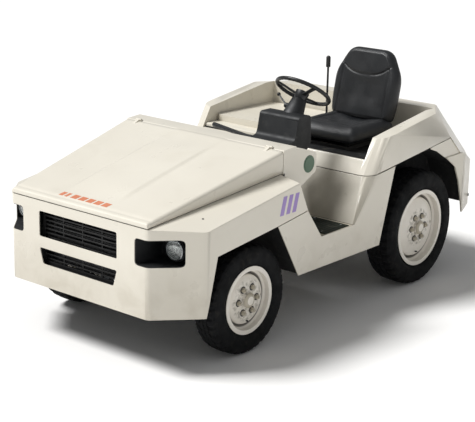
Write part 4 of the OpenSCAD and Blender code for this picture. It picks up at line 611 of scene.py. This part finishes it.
# Wheels
TYRE_SHARES = [[0, 0.37], [0.16, 0.405], [0.30, 0.485], [0.50, 0.50], [0.70, 0.49], [0.84, 0.46],
               [0.94, 0.41], [1, 0.33]]
Wheel = namedtuple("Wheel", "x y radius side width bead pitches body")
WHEELS = {
    f"{axle}_{label}": Wheel(side * x, y, radius, side, width, bead, pitches, f"{axle}_{label}_wheel")
    for axle, x, y, radius, width, bead, pitches in (("front", 0.6335, AXLE, FRONT_R, 0.165, 0.1783, 34),
                                                     ("rear", 0.636, REAR_AXLE, REAR_R, 0.200, 0.2303, 40))
    for side, label in ((1, "left"), (-1, "right"))}
TREAD_DEPTH = 0.0085


def wheel_place(wheel):
    """The wheel's middle, with the local Z axis pointing outwards."""
    turn = Matrix.Rotation(wheel.side * math.pi / 2, 4, "Y")
    return Matrix.Translation((wheel.x, wheel.y, wheel.radius)) @ turn


def tread_height(across, turn):
    """1 on a block, 0 in a groove, 0.35 in a slot; across is in shares of half the tread, turn in pitches."""
    step = 0.035 if (turn % 1.0) < 0.5 else -0.035
    a = abs(across)
    if abs(across - step) < 0.05 or abs(a - 0.52 - step) < 0.055:
        return 0.0
    if a > 0.56 and (turn % 1.0) < 0.20:
        return 0.0
    if a < 0.56 and 0.5 < (turn % 1.0) < 0.60:
        return 0.35
    return 1.0


def build_tyre(name, wheel):
    radius, width, bead = wheel.radius, wheel.width, wheel.bead
    high = radius - bead
    wall = spline([(bead + s[0] * high, s[1] * width) for s in TYRE_SHARES[:-1]], 5)
    rings = []
    for r, h in wall:
        share = (r - bead) / high
        lift = 0.0011 * (abs(share - 0.24) < 0.022) + 0.0009 * (abs(share - 0.60) < 0.012) \
            + 0.0009 * (abs(share - 0.74) < 0.012)
        rings.append((r, h - 0.0012 + lift, None))
    edges = [0.995, 0.93, 0.86, 0.78, 0.70, 0.615, 0.6, 0.555, 0.54, 0.50, 0.485, 0.44, 0.425, 0.35, 0.25,
             0.15, 0.10, 0.085, 0.035, 0.02, 0.0]
    half_tread = TYRE_SHARES[-1][1] * width
    tread = [(radius - 0.0025 * e * e, half_tread * e, e) for e in edges]
    half = rings + tread
    whole = half + [(r, -h, None if e is None else -e) for r, h, e in reversed(half[:-1])]
    inner = [(bead + s[0] * (high - 0.017), -(s[1] * width - 0.0136)) for s in reversed(TYRE_SHARES)]
    inner = inner[::-1] + [(r, -h) for r, h in inner]
    turns = [0.0, 0.012, 0.188, 0.20, 0.35, 0.5, 0.512, 0.588, 0.60, 0.8]
    place = wheel_place(wheel)
    points = []
    for k in range(wheel.pitches):
        for t in turns:
            a = 2 * math.pi * (k + t) / wheel.pitches
            shape = []
            for r, h, e in whole:
                if e is not None:
                    lift = min(tread_height(e, t + 0.003), tread_height(e, t - 0.003))
                    r = r - TREAD_DEPTH * (1 - lift)
                elif r > bead + 0.86 * high and t < 0.195:
                    r, h = r - 0.0035, h - math.copysign(0.0015, h)
                shape.append((r, h))
            points += [place @ Vector((r * math.cos(a), r * math.sin(a), h)) for r, h in shape + inner]
    faces = grid_faces(wheel.pitches * len(turns), len(whole) + len(inner), True, True)
    piece(name + "_tread_tyre", points, faces, 30, "tyre_rubber", wheel.body, None, (name + "_tyre",))


def build_valve(name, wheel):
    """Valve stem with its cap, low on the rim."""
    low = (wheel.bead - 0.022) * 0.80 * wheel.side
    place = wheel_place(wheel) @ Matrix.Translation((low, 0, wheel.width * 0.27))
    profile = [(0.0001, 0), (0.0042, 0), (0.0042, 0.010), (0.0050, 0.011), (0.0050, 0.020), (0.0040, 0.022),
               (0.0001, 0.022)]
    turned(name + "_valve", profile, place, "black_plastic", wheel.body, 20)


def build_wheel_trim(name, wheel):
    """A washer under each wheel nut, a stud end through it, and a turned hub cap."""
    lug = wheel.width * 0.70 / 2
    nuts, nut_circle = 6, 0.078
    place = wheel_place(wheel)
    washer = [(0.0152, 0.0002), (0.0205, 0.0002), (0.0210, 0.0008), (0.0205, 0.0022), (0.0152, 0.0024)]
    stud = [(0.0001, 0.0150), (0.0068, 0.0150), (0.0068, 0.0235), (0.0054, 0.0255), (0.0001, 0.0258)]
    for i in range(nuts):
        a = math.radians((i + 0.5) * 360 / nuts)
        at = place @ Matrix.Translation((nut_circle * math.cos(a), nut_circle * math.sin(a), lug))
        turned(f"{name}_washer_{i + 1}", washer, at, "black_steel", wheel.body, 40, True, 30)
        turned(f"{name}_stud_{i + 1}", stud, at, "bare_steel", wheel.body, 24, False, 30)
    cap = [(0.0001, 0.0275), (0.0100, 0.0274), (0.0240, 0.0262), (0.0300, 0.0250), (0.0318, 0.0225),
           (0.0405, 0.0195), (0.0432, 0.0178), (0.0438, 0.0140), (0.0438, 0.0062), (0.0462, 0.0060),
           (0.0470, 0.0052), (0.0470, 0.0012), (0.0436, 0.0008)]
    finish = name.split("_")[0] + "_rim"
    at = place @ Matrix.Translation((0, 0, lug))
    turned(name + "_cap", cap, at, finish, wheel.body, 72, False, 30, "hub_steel")


# Seat
def outline_points(corners, r, count):
    """A closed outline with rounded corners, as evenly spaced points."""
    pts = []
    n = len(corners)
    for i in range(n):
        a, b, c = (np.array(corners[(i + k) % n], float) for k in (-1, 0, 1))
        ri = min(r, 0.45 * np.linalg.norm(a - b), 0.45 * np.linalg.norm(c - b))
        s = b + ri * (a - b) / np.linalg.norm(a - b)
        e = b + ri * (c - b) / np.linalg.norm(c - b)
        for k in range(13):
            t = k / 12
            pts.append((1 - t) ** 2 * s + 2 * t * (1 - t) * b + t * t * e)
    pts = np.array(pts)
    ring = np.vstack([pts, pts[:1]])
    length = np.concatenate([[0], np.cumsum(np.linalg.norm(np.diff(ring, axis=0), axis=1))])
    at = np.linspace(0, length[-1], count, endpoint=False)
    return np.stack([np.interp(at, length, ring[:, k]) for k in (0, 1)], 1)


def pillow(name, outline, centre, top, low, rings=46):
    """A closed cushion of rings from the middle to the outline; top and low give its two heights."""
    n = len(outline)
    shares = [math.sin(math.pi / 2 * k / rings) for k in range(1, rings + 1)]
    points = [(*centre, top(*centre))]
    for s in shares:
        for o in outline:
            q = np.array(centre) + s * (o - np.array(centre))
            points.append((q[0], q[1], top(q[0], q[1])))
    for s in reversed(shares[:-1]):
        for o in outline:
            q = np.array(centre) + s * (o - np.array(centre))
            points.append((q[0], q[1], low(q[0], q[1])))
    last = len(points)
    points.append((*centre, low(*centre)))
    faces = [(0, 1 + j, 1 + (j + 1) % n) for j in range(n)]
    total = (last - 1) // n
    for i in range(total - 1):
        a, b = 1 + i * n, 1 + (i + 1) * n
        faces += [(a + j, b + j, b + (j + 1) % n, a + (j + 1) % n) for j in range(n)]
    a = 1 + (total - 1) * n
    faces += [(a + j, last, a + (j + 1) % n) for j in range(n)]
    return mesh_object(name, points, faces, 60)


def rim_distance(outline):
    """Distance from a point to the outline, as a function."""
    a = outline
    b = np.roll(outline, -1, axis=0)
    d = b - a
    length = (d ** 2).sum(1)

    def distance(x, y):
        p = np.array([x, y])
        t = np.clip(((p - a) * d).sum(1) / length, 0, 1)
        return float(np.sqrt(((a + t[:, None] * d - p) ** 2).sum(1).min()))
    return distance


def roll_off(d, r):
    """The rounded edge of a cushion: 0 at the rim and 1 from r inwards."""
    t = min(1.0, max(0.0, d / r))
    return math.sqrt(max(0.0, 1 - (1 - t) ** 2))


def groove(d, width):
    return math.exp(-(d / width) ** 2)


def build_cushion():
    low, front, length, half, high = 0.9680, 0.256, 0.472, 0.2450, 0.1020
    corners = [(-half, front), (half, front), (half, front + length), (-half, front + length)]
    outline = outline_points(corners, 0.062, 300)
    distance = rim_distance(outline)
    mid_y = front + length / 2

    def inner_panel(x, y):
        """Signed distance to the seam that frames the sunken middle panel."""
        return max(abs(x) - 0.150, front + 0.105 - y, y - front - length - 0.05)

    def top(x, y):
        d = distance(x, y)
        body = 0.040 + 0.056 * roll_off(d, 0.070)
        sag = 0.018 * (1 - smooth(0.02, 0.17, abs(x))) * smooth(front + 0.09, front + 0.24, y)
        bolster = 0.006 * groove(abs(x) - 0.190, 0.045) + 0.004 * groove(y - front - 0.075, 0.04)
        seam = 0.0055 * groove(inner_panel(x, y), 0.0055) * (d > 0.02)
        channels = sum(0.0022 * groove(y - front - 0.105 - k * 0.085, 0.007) for k in (1, 2, 3)) \
            * (inner_panel(x, y) < 0)
        fold = 0.0012 * math.sin(31 * x + 17 * y) * math.sin(23 * y - 9 * x) * smooth(0.0, 0.05, d)
        return low + min(high, body + bolster) - sag - seam - channels + fold

    def bottom(x, y):
        return low + 0.040 * (1 - roll_off(distance(x, y), 0.040))

    obj = pillow("seat_cushion_pad", outline, (0.0, mid_y), top, bottom)
    obj.data.transform(Matrix.Translation((SEAT_X, 0, 0)))
    finish_piece(obj, "seat_vinyl", "seat", "seat_vinyl", ("seat_cushion",))


def build_backrest():
    half, high, thick, drop, foot_z = 0.245, 0.435, 0.105, -0.030, 1.0648
    corners = [(-half * 0.94, drop), (half * 0.94, drop), (half, high * 0.20), (half, high * 0.62),
               (0.150, high), (-0.150, high), (-half, high * 0.62), (-half, high * 0.20)]
    outline = outline_points(corners, 0.055, 340)
    distance = rim_distance(outline)

    def seam_height(x):
        """The curved lower seam of the upper panel, deepest in the middle."""
        return 0.262 + 0.088 * min(1.0, (x / 0.205) ** 2) ** 1.4

    def front(x, z):
        d = distance(x, z)
        body = 0.5 * thick * roll_off(d, 0.042)
        hollow = 0.007 * (1 - smooth(0.06, 0.17, abs(x))) * smooth(0.03, 0.14, z) \
            * (1 - smooth(0.20, 0.27, z))
        upper = 0.003 * smooth(-0.004, 0.016, z - seam_height(x)) * (abs(x) < 0.205)
        curve = 0.0045 * groove(z - seam_height(x), 0.0075) * (abs(x) < 0.215) * smooth(0.01, 0.03, d)
        sides = 0.0055 * groove(abs(x) - 0.172 - 0.010 * (1 - z / high), 0.0055) \
            * (z < seam_height(x)) * smooth(0.015, 0.035, d)
        piping = 0.002 * groove(d - 0.030, 0.004)
        fold = 0.0006 * math.sin(27 * x + 13 * z) * math.sin(19 * z - 11 * x) * smooth(0.0, 0.05, d)
        return -(body - hollow + upper - curve - sides + piping + fold) + 0.004

    def rear(x, z):
        return 0.5 * thick * roll_off(distance(x, z), 0.036) - 0.001

    obj = pillow("seat_back_pad", outline, (0.0, high * 0.5), front, rear)
    obj.data.transform(Matrix(((1, 0, 0, 0), (0, 0, 1, 0), (0, 1, 0, 0), (0, 0, 0, 1))))
    obj.data.transform(Matrix.Translation((SEAT_X, behind(1640), foot_z))
                       @ Matrix.Rotation(math.radians(-13), 4, "X"))
    obj.data.flip_normals()
    finish_piece(obj, "seat_vinyl", "seat", "seat_vinyl", ("seat_back",))


# Steering wheel and lamps
def steering_place():
    return Matrix.Translation((SEAT_X, behind(1000), 1.308)) @ Matrix.Rotation(math.radians(-35), 4, "X")


def build_steering_wheel():
    """Rim with finger bumps on its underside, three spokes and the hub."""
    place = steering_place()
    points = []
    around, across, rim_r = 288, 20, 0.171
    for k in range(around):
        a = 2 * math.pi * k / around
        bumps = 0.0013 * max(0.0, math.cos(36 * a))
        for j in range(across):
            t = 2 * math.pi * j / across
            under = max(0.0, -math.sin(t) * 0.7 - math.cos(t) * 0.3)
            r = 0.0118 + bumps * under
            out = rim_r + r * math.cos(t)
            points.append(place @ Vector((out * math.cos(a), out * math.sin(a), r * 1.02 * math.sin(t))))
    piece("steering_rim", points, grid_faces(around, across, True, True), 60, "grip_black", "steering_wheel")
    for i, turn in enumerate((90, 210, 330)):
        lie = place @ Matrix.Rotation(math.radians(turn), 4, "Z")
        path = [(0.020, -0.030), (0.045, -0.026), (0.085, -0.017), (0.125, -0.007), (0.160, -0.001),
                (rim_r, 0.0)]
        rows = []
        for n, (r, z) in enumerate(spline(path, 4)):
            share = n / (4 * (len(path) - 1))
            w = 0.0205 - 0.008 * math.sin(math.pi * min(1, share * 1.05))
            t = 0.0056 + 0.0022 * (1 - share)
            rows.append([(r, w * math.copysign(abs(math.cos(q)) ** 0.5, math.cos(q)), z + t * math.sin(q))
                         for q in np.linspace(0, 2 * math.pi, 20, endpoint=False)])
        pts = [lie @ Vector(q) for row in rows for q in row]
        faces = grid_faces(len(rows), 20, False, True)
        faces += [tuple(range(20)), tuple(range(len(pts) - 20, len(pts)))]
        piece(f"steering_spoke_{i + 1}", pts, faces, 50, "grip_black", "steering_wheel")
    hub = [(0.0001, -0.0615), (0.034, -0.0615), (0.0375, -0.056), (0.041, -0.03), (0.0435, -0.012),
           (0.0425, -0.0072), (0.039, -0.0062), (0.0325, -0.0064), (0.0312, -0.008), (0.0312, -0.0195),
           (0.0001, -0.0195)]
    turned("steering_hub", hub, place, "grip_black", "steering_wheel", 64, False, 40,
           stands_for=("steering_wheel",))


def build_lamps():
    """Reflector, bezel, ribbed lens and bulb in each bucket."""
    z, y, lens_r = 0.700, FRONT + 0.160, 0.0563
    for side in (1, -1):
        label = "left" if side > 0 else "right"
        place = Matrix.Translation((side * 0.590, y, z)) @ Matrix.Rotation(math.radians(90), 4, "X")
        bowl = [(0.0001, -0.040), (0.018, -0.0385), (0.034, -0.032), (0.047, -0.020), (0.055, -0.004),
                (0.0575, 0.002), (0.0555, 0.0025), (0.045, -0.017), (0.033, -0.028), (0.018, -0.0345),
                (0.0001, -0.036)]
        turned(f"lamp_reflector_{label}", bowl, place, REFLECTOR, "chassis", 72, False, 60, "bare_steel")
        bezel = [(0.0560, 0.000), (0.0612, 0.000), (0.0616, 0.006), (0.0600, 0.011), (0.0570, 0.012),
                 (0.0558, 0.009)]
        turned(f"lamp_bezel_{label}", bezel, place, "bare_steel", "chassis", 72, True, 50)
        n, m = 60, 26
        pts = []
        for face in (1, -1):
            for i in range(m):
                q = lens_r * (i + 0.02) / (m - 1 + 0.02)
                for j in range(n):
                    a = 2 * math.pi * j / n
                    u, v = q * math.cos(a), q * math.sin(a)
                    dome = 0.0115 * (1 - (q / lens_r) ** 2)
                    flute = 0.0009 * math.sin(u * 2 * math.pi / 0.0085) * (1 - smooth(0.048, 0.055, q))
                    h = 0.0070 + dome if face > 0 else 0.0040 + dome * 0.85 + flute
                    pts.append(place @ Vector((u, v, h)))
        faces = grid_faces(m, n, False, True)
        faces += [tuple(m * n + k for k in f) for f in grid_faces(m, n, False, True)]
        faces += [((m - 1) * n + j, (m - 1) * n + (j + 1) % n, (2 * m - 1) * n + (j + 1) % n,
                   (2 * m - 1) * n + j) for j in range(n)]
        faces += [tuple(range(n)), tuple(range(m * n, m * n + n))]
        stands_for = ("lamp_lenses",) if side > 0 else ()
        piece(f"lamp_lens_{label}", pts, faces, 50, "lamp_glass", "chassis", None, stands_for)
        bulb = [(0.0001, 0.0), (0.005, -0.001), (0.0075, -0.007), (0.0075, -0.016), (0.006, -0.020),
                (0.006, -0.036), (0.0001, -0.036)]
        turned(f"lamp_bulb_{label}", bulb, place, "lamp_glass", "chassis", 24, False, 40)


# Plain marks where the photograph has lettering
def flat_mark(name, corners, place, material, body, slot):
    """A thin film with the given outline: place maps (u, v, height) to a point on the surface."""
    edge = []
    n = len(corners)
    for i in range(n):
        a, b = np.array(corners[i], float), np.array(corners[(i + 1) % n], float)
        edge += [a + (b - a) * k / 4 for k in range(4)]
    points = [place(u, v, 0.0007) for u, v in edge] + [place(u, v, -0.0003) for u, v in edge]
    return piece(name, points, prism_faces(len(edge)), 40, material, body, slot)


def hood_top(x, y):
    """Height of the hood's outside at a place on its sloping top."""
    return hood_plane(y) + hood_crown(x, y)


def build_marks():
    """Unlettered bars: a row of orange dashes on the hood and slanted violet bars on the side."""
    def on_hood(u, v, h):
        return u, v, hood_top(u, v) + h

    def on_side(u, v, h):
        return HALF_W + h, u, v

    def slanted(start, width, low, high, lean):
        return [(start, low), (start + width, low), (start + width + lean, high), (start + lean, high)]

    x = -0.200
    for i, width in enumerate([0.030, 0.022] + [0.046] * 5):
        dash = slanted(x, width, -1.538, -1.498, 0.006)
        flat_mark(f"hood_dash_{i + 1}", dash, on_hood, ORANGE, "hood", "cream_paint")
        x += width + 0.014 + 0.012 * (i == 1)
    for i, start in enumerate((-0.745, -0.690, -0.635)):
        bar = slanted(start, 0.034, 0.772, 0.880, 0.030)
        flat_mark(f"side_bar_{i + 1}", bar, on_side, PURPLE, "chassis", "cream_paint")


# Small fasteners
def screw_head(name, place, r, body, slot, kind):
    """A bolt head on its washer, a round screw or a plug, standing on the local XY plane."""
    n = 48
    high = r * (0.75 if kind == "hex" else 0.42)
    washer = [(1.32, 0.0), (1.38, 0.04 * r), (1.38, 0.13 * r), (1.30, 0.17 * r)]
    head = [(0.98, 0.17 * r), (1.0, 0.22 * r), (1.0, high * 0.86), (0.93, high), (0.55, high),
            (0.42, high * 0.8), (0.02, high * 0.78)]
    points = []
    for rows, six_sided in ((washer, False), (head, kind == "hex")):
        for share, h in rows:
            for k in range(n):
                a = 2 * math.pi * k / n
                flat = math.cos(math.pi / 6) / math.cos((a % (math.pi / 3)) - math.pi / 6)
                out = share * r * (min(flat, 0.985) if six_sided else 1.0)
                points.append(place @ Vector((out * math.cos(a), out * math.sin(a), h)))
    rings = len(points) // n
    faces = grid_faces(rings, n, False, True)
    faces += [tuple(range(n)), tuple(range((rings - 1) * n, rings * n))]
    piece(name, points, faces, 30, slot, body)


def build_deck_plate():
    """A painted plate with a turned-down front edge, before the cover on the deck's right side."""
    x0, x1, y0, y1, z0, z1 = -0.652, -0.092, 0.214, 0.3225, 0.9210, 0.9425
    profile = [(y0, z0), (y0, z1 - 0.008), (y0 + 0.002, z1 - 0.003), (y0 + 0.007, z1), (y1, z1), (y1, z0)]
    steps = 24
    points = [(x0 + (x1 - x0) * k / steps, y, z + 0.0008 * math.sin(7 * k / steps)) for k in range(steps + 1)
              for y, z in profile]
    faces = grid_faces(steps + 1, len(profile), False, True)
    faces += [tuple(range(len(profile))), tuple(range(steps * len(profile), len(points)))]
    obj = soften(mesh_object("deck_front_plate", points, faces), 0.0016)
    finish_piece(obj, "cover_paint", "chassis", "cover_paint")


def build_gap_shade_strips():
    """Black strips under the hood's edge, painted shade that deepens the gap's dark line."""
    def strip(name, line, x_share, y_share):
        points = []
        for x, y, z in line:
            for j in range(10):
                a = 2 * math.pi * j / 10
                out = 0.0035 * math.cos(a)
                points.append((x + x_share * out, y + y_share * out, z + 0.0042 * math.sin(a)))
        piece(name, points, grid_faces(len(line), 10, False, True), 60, DARK, "chassis", "liner_black")

    for side, label in ((-1, "right"), (1, "left")):
        line = []
        for k in range(41):
            y = FRONT + 0.012 + (HOOD_REAR_Y - 0.012 - FRONT - 0.012) * k / 40
            line.append((side * (hood_half(y) - 0.0075), y, seam_z(y) - 0.0035))
        strip(f"hood_seal_{label}", line, side, 0)
    half = FACE_HALF - 0.012
    line = [(-half + 2 * half * k / 24, FRONT + 0.0075, HOOD_FRONT_Z + 0.0018) for k in range(25)]
    strip("hood_seal_front", line, 0, 1)


def laid_on(node, point, toward):
    """Where a line from a point meets a node's surface, with the local Z axis along its normal."""
    mesh = NODES[node].data
    tree = BVHTree.FromPolygons([v.co for v in mesh.vertices], [p.vertices for p in mesh.polygons])
    spot, normal, _, _ = tree.ray_cast(Vector(point), Vector(toward))
    return standing(spot, normal)


def build_screws():
    """Bolts, screws and plugs of the panels, the bumper, the covers and the pod, each on its surface."""
    spots = []
    for s in (1, -1):
        outside, down, back = (-s, 0, 0), (0, 0, -1), (0, -1, 0)
        spots += [("front_shell", (s * 0.646, -1.277, 1.2), down, 0.0045, "plug")]
        spots += [("rear_bumper", (s * x, 2, z), back, 0.009, "hex") for x in (0.66, 0.30)
                  for z in (0.45, 0.74)]
        spots += [("step_treads", (s * x, y, 0.9), down, 0.006, "round") for x in (0.50, 0.70)
                  for y in (-0.275, -0.085)]
        spots += [("cowl", (s, -0.5581, 0.9548), outside, 0.006, "plug")]
        spots += [("tow_coupler", (s * 0.085, 2, z), back, 0.009, "hex") for z in (0.445, 0.635)]
    spots += [("side_cover", (x, y, 1.2), (0, 0, -1), 0.0055, "painted") for x in (-0.60, -0.37, -0.13)
              for y in (0.385, 0.855)]
    spots += [("instrument_pod", (x, -1, 0.99), (0, 1, 0), 0.005, "round") for x in (0.150, 0.400)]
    for i, (node, point, toward, r, kind) in enumerate(spots):
        slot = {"plug": "black_plastic", "painted": "cover_paint"}.get(kind, "bare_steel")
        screw_head(f"{node}_screw_{i + 1}", laid_on(node, point, toward), r, BODY[node], slot, kind)


def build_gauges():
    """Two unlettered dials, a row of rocker switches and a key switch on the pod's rear face."""
    dial_x, dial_z, switch_z = 0.112, 1.140, 1.082

    def on_pod(x, z):
        return laid_on("instrument_pod", (SEAT_X + x, 0.5, z), (0, -1, 0))

    def on_dial(place, turn, out, high):
        return place @ Matrix.Rotation(math.radians(turn), 4, "Z") @ Matrix.Translation((0, out, high))

    bezel = [(0.0262, -0.001), (0.0300, -0.001), (0.0306, 0.003), (0.0296, 0.0055), (0.0268, 0.0055),
             (0.0260, 0.003)]
    dial = [(0.0001, 0.0020), (0.0262, 0.0020), (0.0262, -0.001), (0.0001, -0.001)]
    barrel = [(0.0001, 0.0105), (0.0075, 0.0105), (0.0082, 0.0095), (0.0082, 0.003), (0.0125, 0.0025),
              (0.0125, -0.001), (0.0001, -0.001)]
    for x, label in ((-dial_x, "right"), (dial_x, "left")):
        place = on_pod(x, dial_z)
        turned(f"gauge_{label}_bezel", bezel, place, "bare_steel", "chassis", 56, True)
        turned(f"gauge_{label}_dial", dial, place, "liner_black", "chassis", 56)
        for t in range(11):
            at = on_dial(place, 27 * t - 135, 0.0205, 0.0021)
            half = (0.0006, 0.0046 if t % 5 == 0 else 0.0030, 0.0003)
            box_piece(f"gauge_{label}_tick_{t + 1}", at, half, "fan_plastic")
        at = on_dial(place, 40 * x / dial_x, 0.008, 0.0028)
        box_piece(f"gauge_{label}_needle", at, (0.0007, 0.0115, 0.0004), "red_plastic")
    for i in range(3):
        place = on_pod(-dial_x + 0.030 * (i - 1), switch_z)
        box_piece(f"rocker_{i + 1}_frame", place, (0.0115, 0.0185, 0.0018), "grey_plastic", 0.0012)
        tilt = Matrix.Translation((0, 0, 0.003)) @ Matrix.Rotation(math.radians(9 if i else -9), 4, "X")
        box_piece(f"rocker_{i + 1}", place @ tilt, (0.0085, 0.0150, 0.0022), "black_plastic", 0.0012)
    turned("key_switch", barrel, on_pod(dial_x, switch_z), "bare_steel", "chassis", 56)


def box_piece(name, place, half, material, edge=0.0):
    """A small block on the chassis."""
    corners = [Vector((a * half[0], b * half[1], c * half[2]))
               for a in (-1, 1) for b in (-1, 1) for c in (-1, 1)]
    faces = [(0, 1, 3, 2), (4, 6, 7, 5), (0, 4, 5, 1), (2, 3, 7, 6), (0, 2, 6, 4), (1, 5, 7, 3)]
    obj = mesh_object(name, [place @ c for c in corners], faces)
    if edge:
        soften(obj, edge)
    return finish_piece(obj, material, "chassis", material)


def build_grab_bar():
    """A fixed black grip on a painted stay, from the pod's side out over the step."""
    root, tip = Vector((0.1255, -0.148, 1.0)), Vector((-0.415, 0.014, 1.0))
    place = standing(root, tip - root)
    length = (tip - root).length
    start = length * 0.19
    stay = [(0.0001, -0.0005), (0.022, -0.0005), (0.023, 0.001), (0.0222, 0.0035), (0.0100, 0.0045),
            (0.0078, 0.008), (0.0072, start + 0.004), (0.0001, start + 0.004)]
    grip = [(0.0001, start), (0.0105, start), (0.0122, start + 0.004), (0.0128, start + 0.03)]
    for k in range(1, 9):
        at, r = start + 0.03 + (length - start - 0.06) * k / 9, 0.0130 + 0.0003 * k
        grip += [(r, at - 0.006), (r - 0.0009, at), (r, at + 0.006)]
    grip += [(0.0158, length - 0.02), (0.0150, length - 0.008), (0.0110, length - 0.002), (0.0001, length)]
    turned("grab_bar_stay", stay, place, "cream_paint", "chassis", 40)
    turned("grab_bar_grip", grip, place, "grip_black", "chassis", 40)


def build_tail_lamps():
    """A ribbed lens on each tail lamp, with its two screws."""
    for side, label in ((1, "left"), (-1, "right")):
        x, z = side * 0.500, 0.610
        middle = laid_on("tail_lamps", (x, 2, z), (0, -1, 0)).translation
        for i in range(11):
            place = Matrix.Translation(middle + Vector(((i - 5) * 0.0105, 0, 0)))
            box_piece(f"tail_rib_{label}_{i + 1}", place, (0.0036, 0.0016, 0.027), "red_plastic", 0.0014)
        for e in (-1, 1):
            place = laid_on("tail_lamps", (x + e * 0.066, 2, z), (0, -1, 0))
            screw_head(f"tail_screw_{label}_{e + 2}", place, 0.0034, "chassis", "bare_steel", "round")


# Stage and camera
def build_stage():
    mesh = bpy.data.meshes.new("floor")
    mesh.from_pydata([(-70, -70, 0), (70, -70, 0), (70, 90, 0), (-70, 90, 0)], [], [(0, 1, 2, 3)])
    floor = new_object("floor", mesh)
    s = Surface("pale_floor", "#f7f6f4", 0.85)
    s.layer(s.span(s.noise(0.8, 3), 0.3, 0.7), "#faf9f7", 0.5)
    mesh.materials.append(s.material)
    world = bpy.data.worlds.new("studio")
    bpy.context.scene.world = world
    world.use_nodes = True
    back = world.node_tree.nodes["Background"]
    back.inputs["Color"].default_value = (0.97, 0.985, 1.0, 1)
    back.inputs["Strength"].default_value = 0.27
    for name, direction, strength, spread in (
            ("key", (0.40, 0.38, -0.80), 3.55, 20), ("glow", (-0.62, 0.35, -0.42), 0.10, 60)):
        light = bpy.data.lights.new(name, "SUN")
        light.energy = strength
        light.angle = math.radians(spread)
        obj = new_object(name, light)
        obj.location = Vector(direction) * -8
        obj.rotation_mode = "QUATERNION"
        obj.rotation_quaternion = Vector(direction).to_track_quat("-Z", "Y")


def build_camera():
    """The photograph's view; the focal length is in pixels of its width."""
    focal_px, photo_px = 1382.47, 475
    turn, lift, roll = (math.radians(a) for a in (39.9858, 16.0097, 1.0892))
    back = Vector((math.sin(turn) * math.cos(lift), -math.cos(turn) * math.cos(lift), math.sin(lift)))
    right = Vector((math.cos(turn), math.sin(turn), 0))
    up = back.cross(right)
    across = right * math.cos(roll) + up * math.sin(roll)
    upward = up * math.cos(roll) - right * math.sin(roll)
    data = bpy.data.cameras.new("view")
    data.sensor_width = 36
    data.lens = focal_px * data.sensor_width / photo_px
    data.clip_end = 300
    camera = new_object("view", data)
    place = Vector((5.338, -6.586, 2.930))
    camera.matrix_world = Matrix([[across[i], upward[i], back[i], place[i]] for i in range(3)]
                                 + [[0, 0, 0, 1]])
    bpy.context.scene.camera = camera


REBUILT = {"hood", "seat_cushion", "seat_back", "steering_wheel", "lamp_lenses"}
REBUILT |= {name + "_tyre" for name in WHEELS}
FINISH = {wheel.body: wheel.body.split("_")[0] + "_rim" for wheel in WHEELS.values()}
FINISH.update(lower_body="side_paint", grille_screen=GRILLE)


def on_nuts(y, z):
    return lambda c: 0.058 < math.hypot(c.y - y, c.z - z) < 0.098 and abs(c.x) > 0.58


INLAY = {name + "_hub": (on_nuts(wheel.y, wheel.radius), "black_steel") for name, wheel in WHEELS.items()}
BIG = {"front_shell": 0.006, "lower_body": 0.004, "deck_shell": 0.014, "cowl": 0.006, "rear_bumper": 0.008,
       "side_cover": 0.008, "instrument_pod": 0.006, "engine": 0.003, "gearbox": 0.004}
build_hood()
build_hinges()
for name, wheel in WHEELS.items():
    build_tyre(name, wheel)
    build_valve(name, wheel)
    build_wheel_trim(name, wheel)
build_cushion()
build_backrest()
build_steering_wheel()
build_lamps()
build_marks()
build_deck_plate()
build_gap_shade_strips()
build_screws()
build_gauges()
build_grab_bar()
build_tail_lamps()
for node in NODES:
    if node not in REBUILT:
        dress(node, BIG.get(node, 0.0016), material=FINISH.get(node), inlay=INLAY.get(node))
build_stage()
build_camera()
bpy.context.scene.view_settings.view_transform = "Standard"
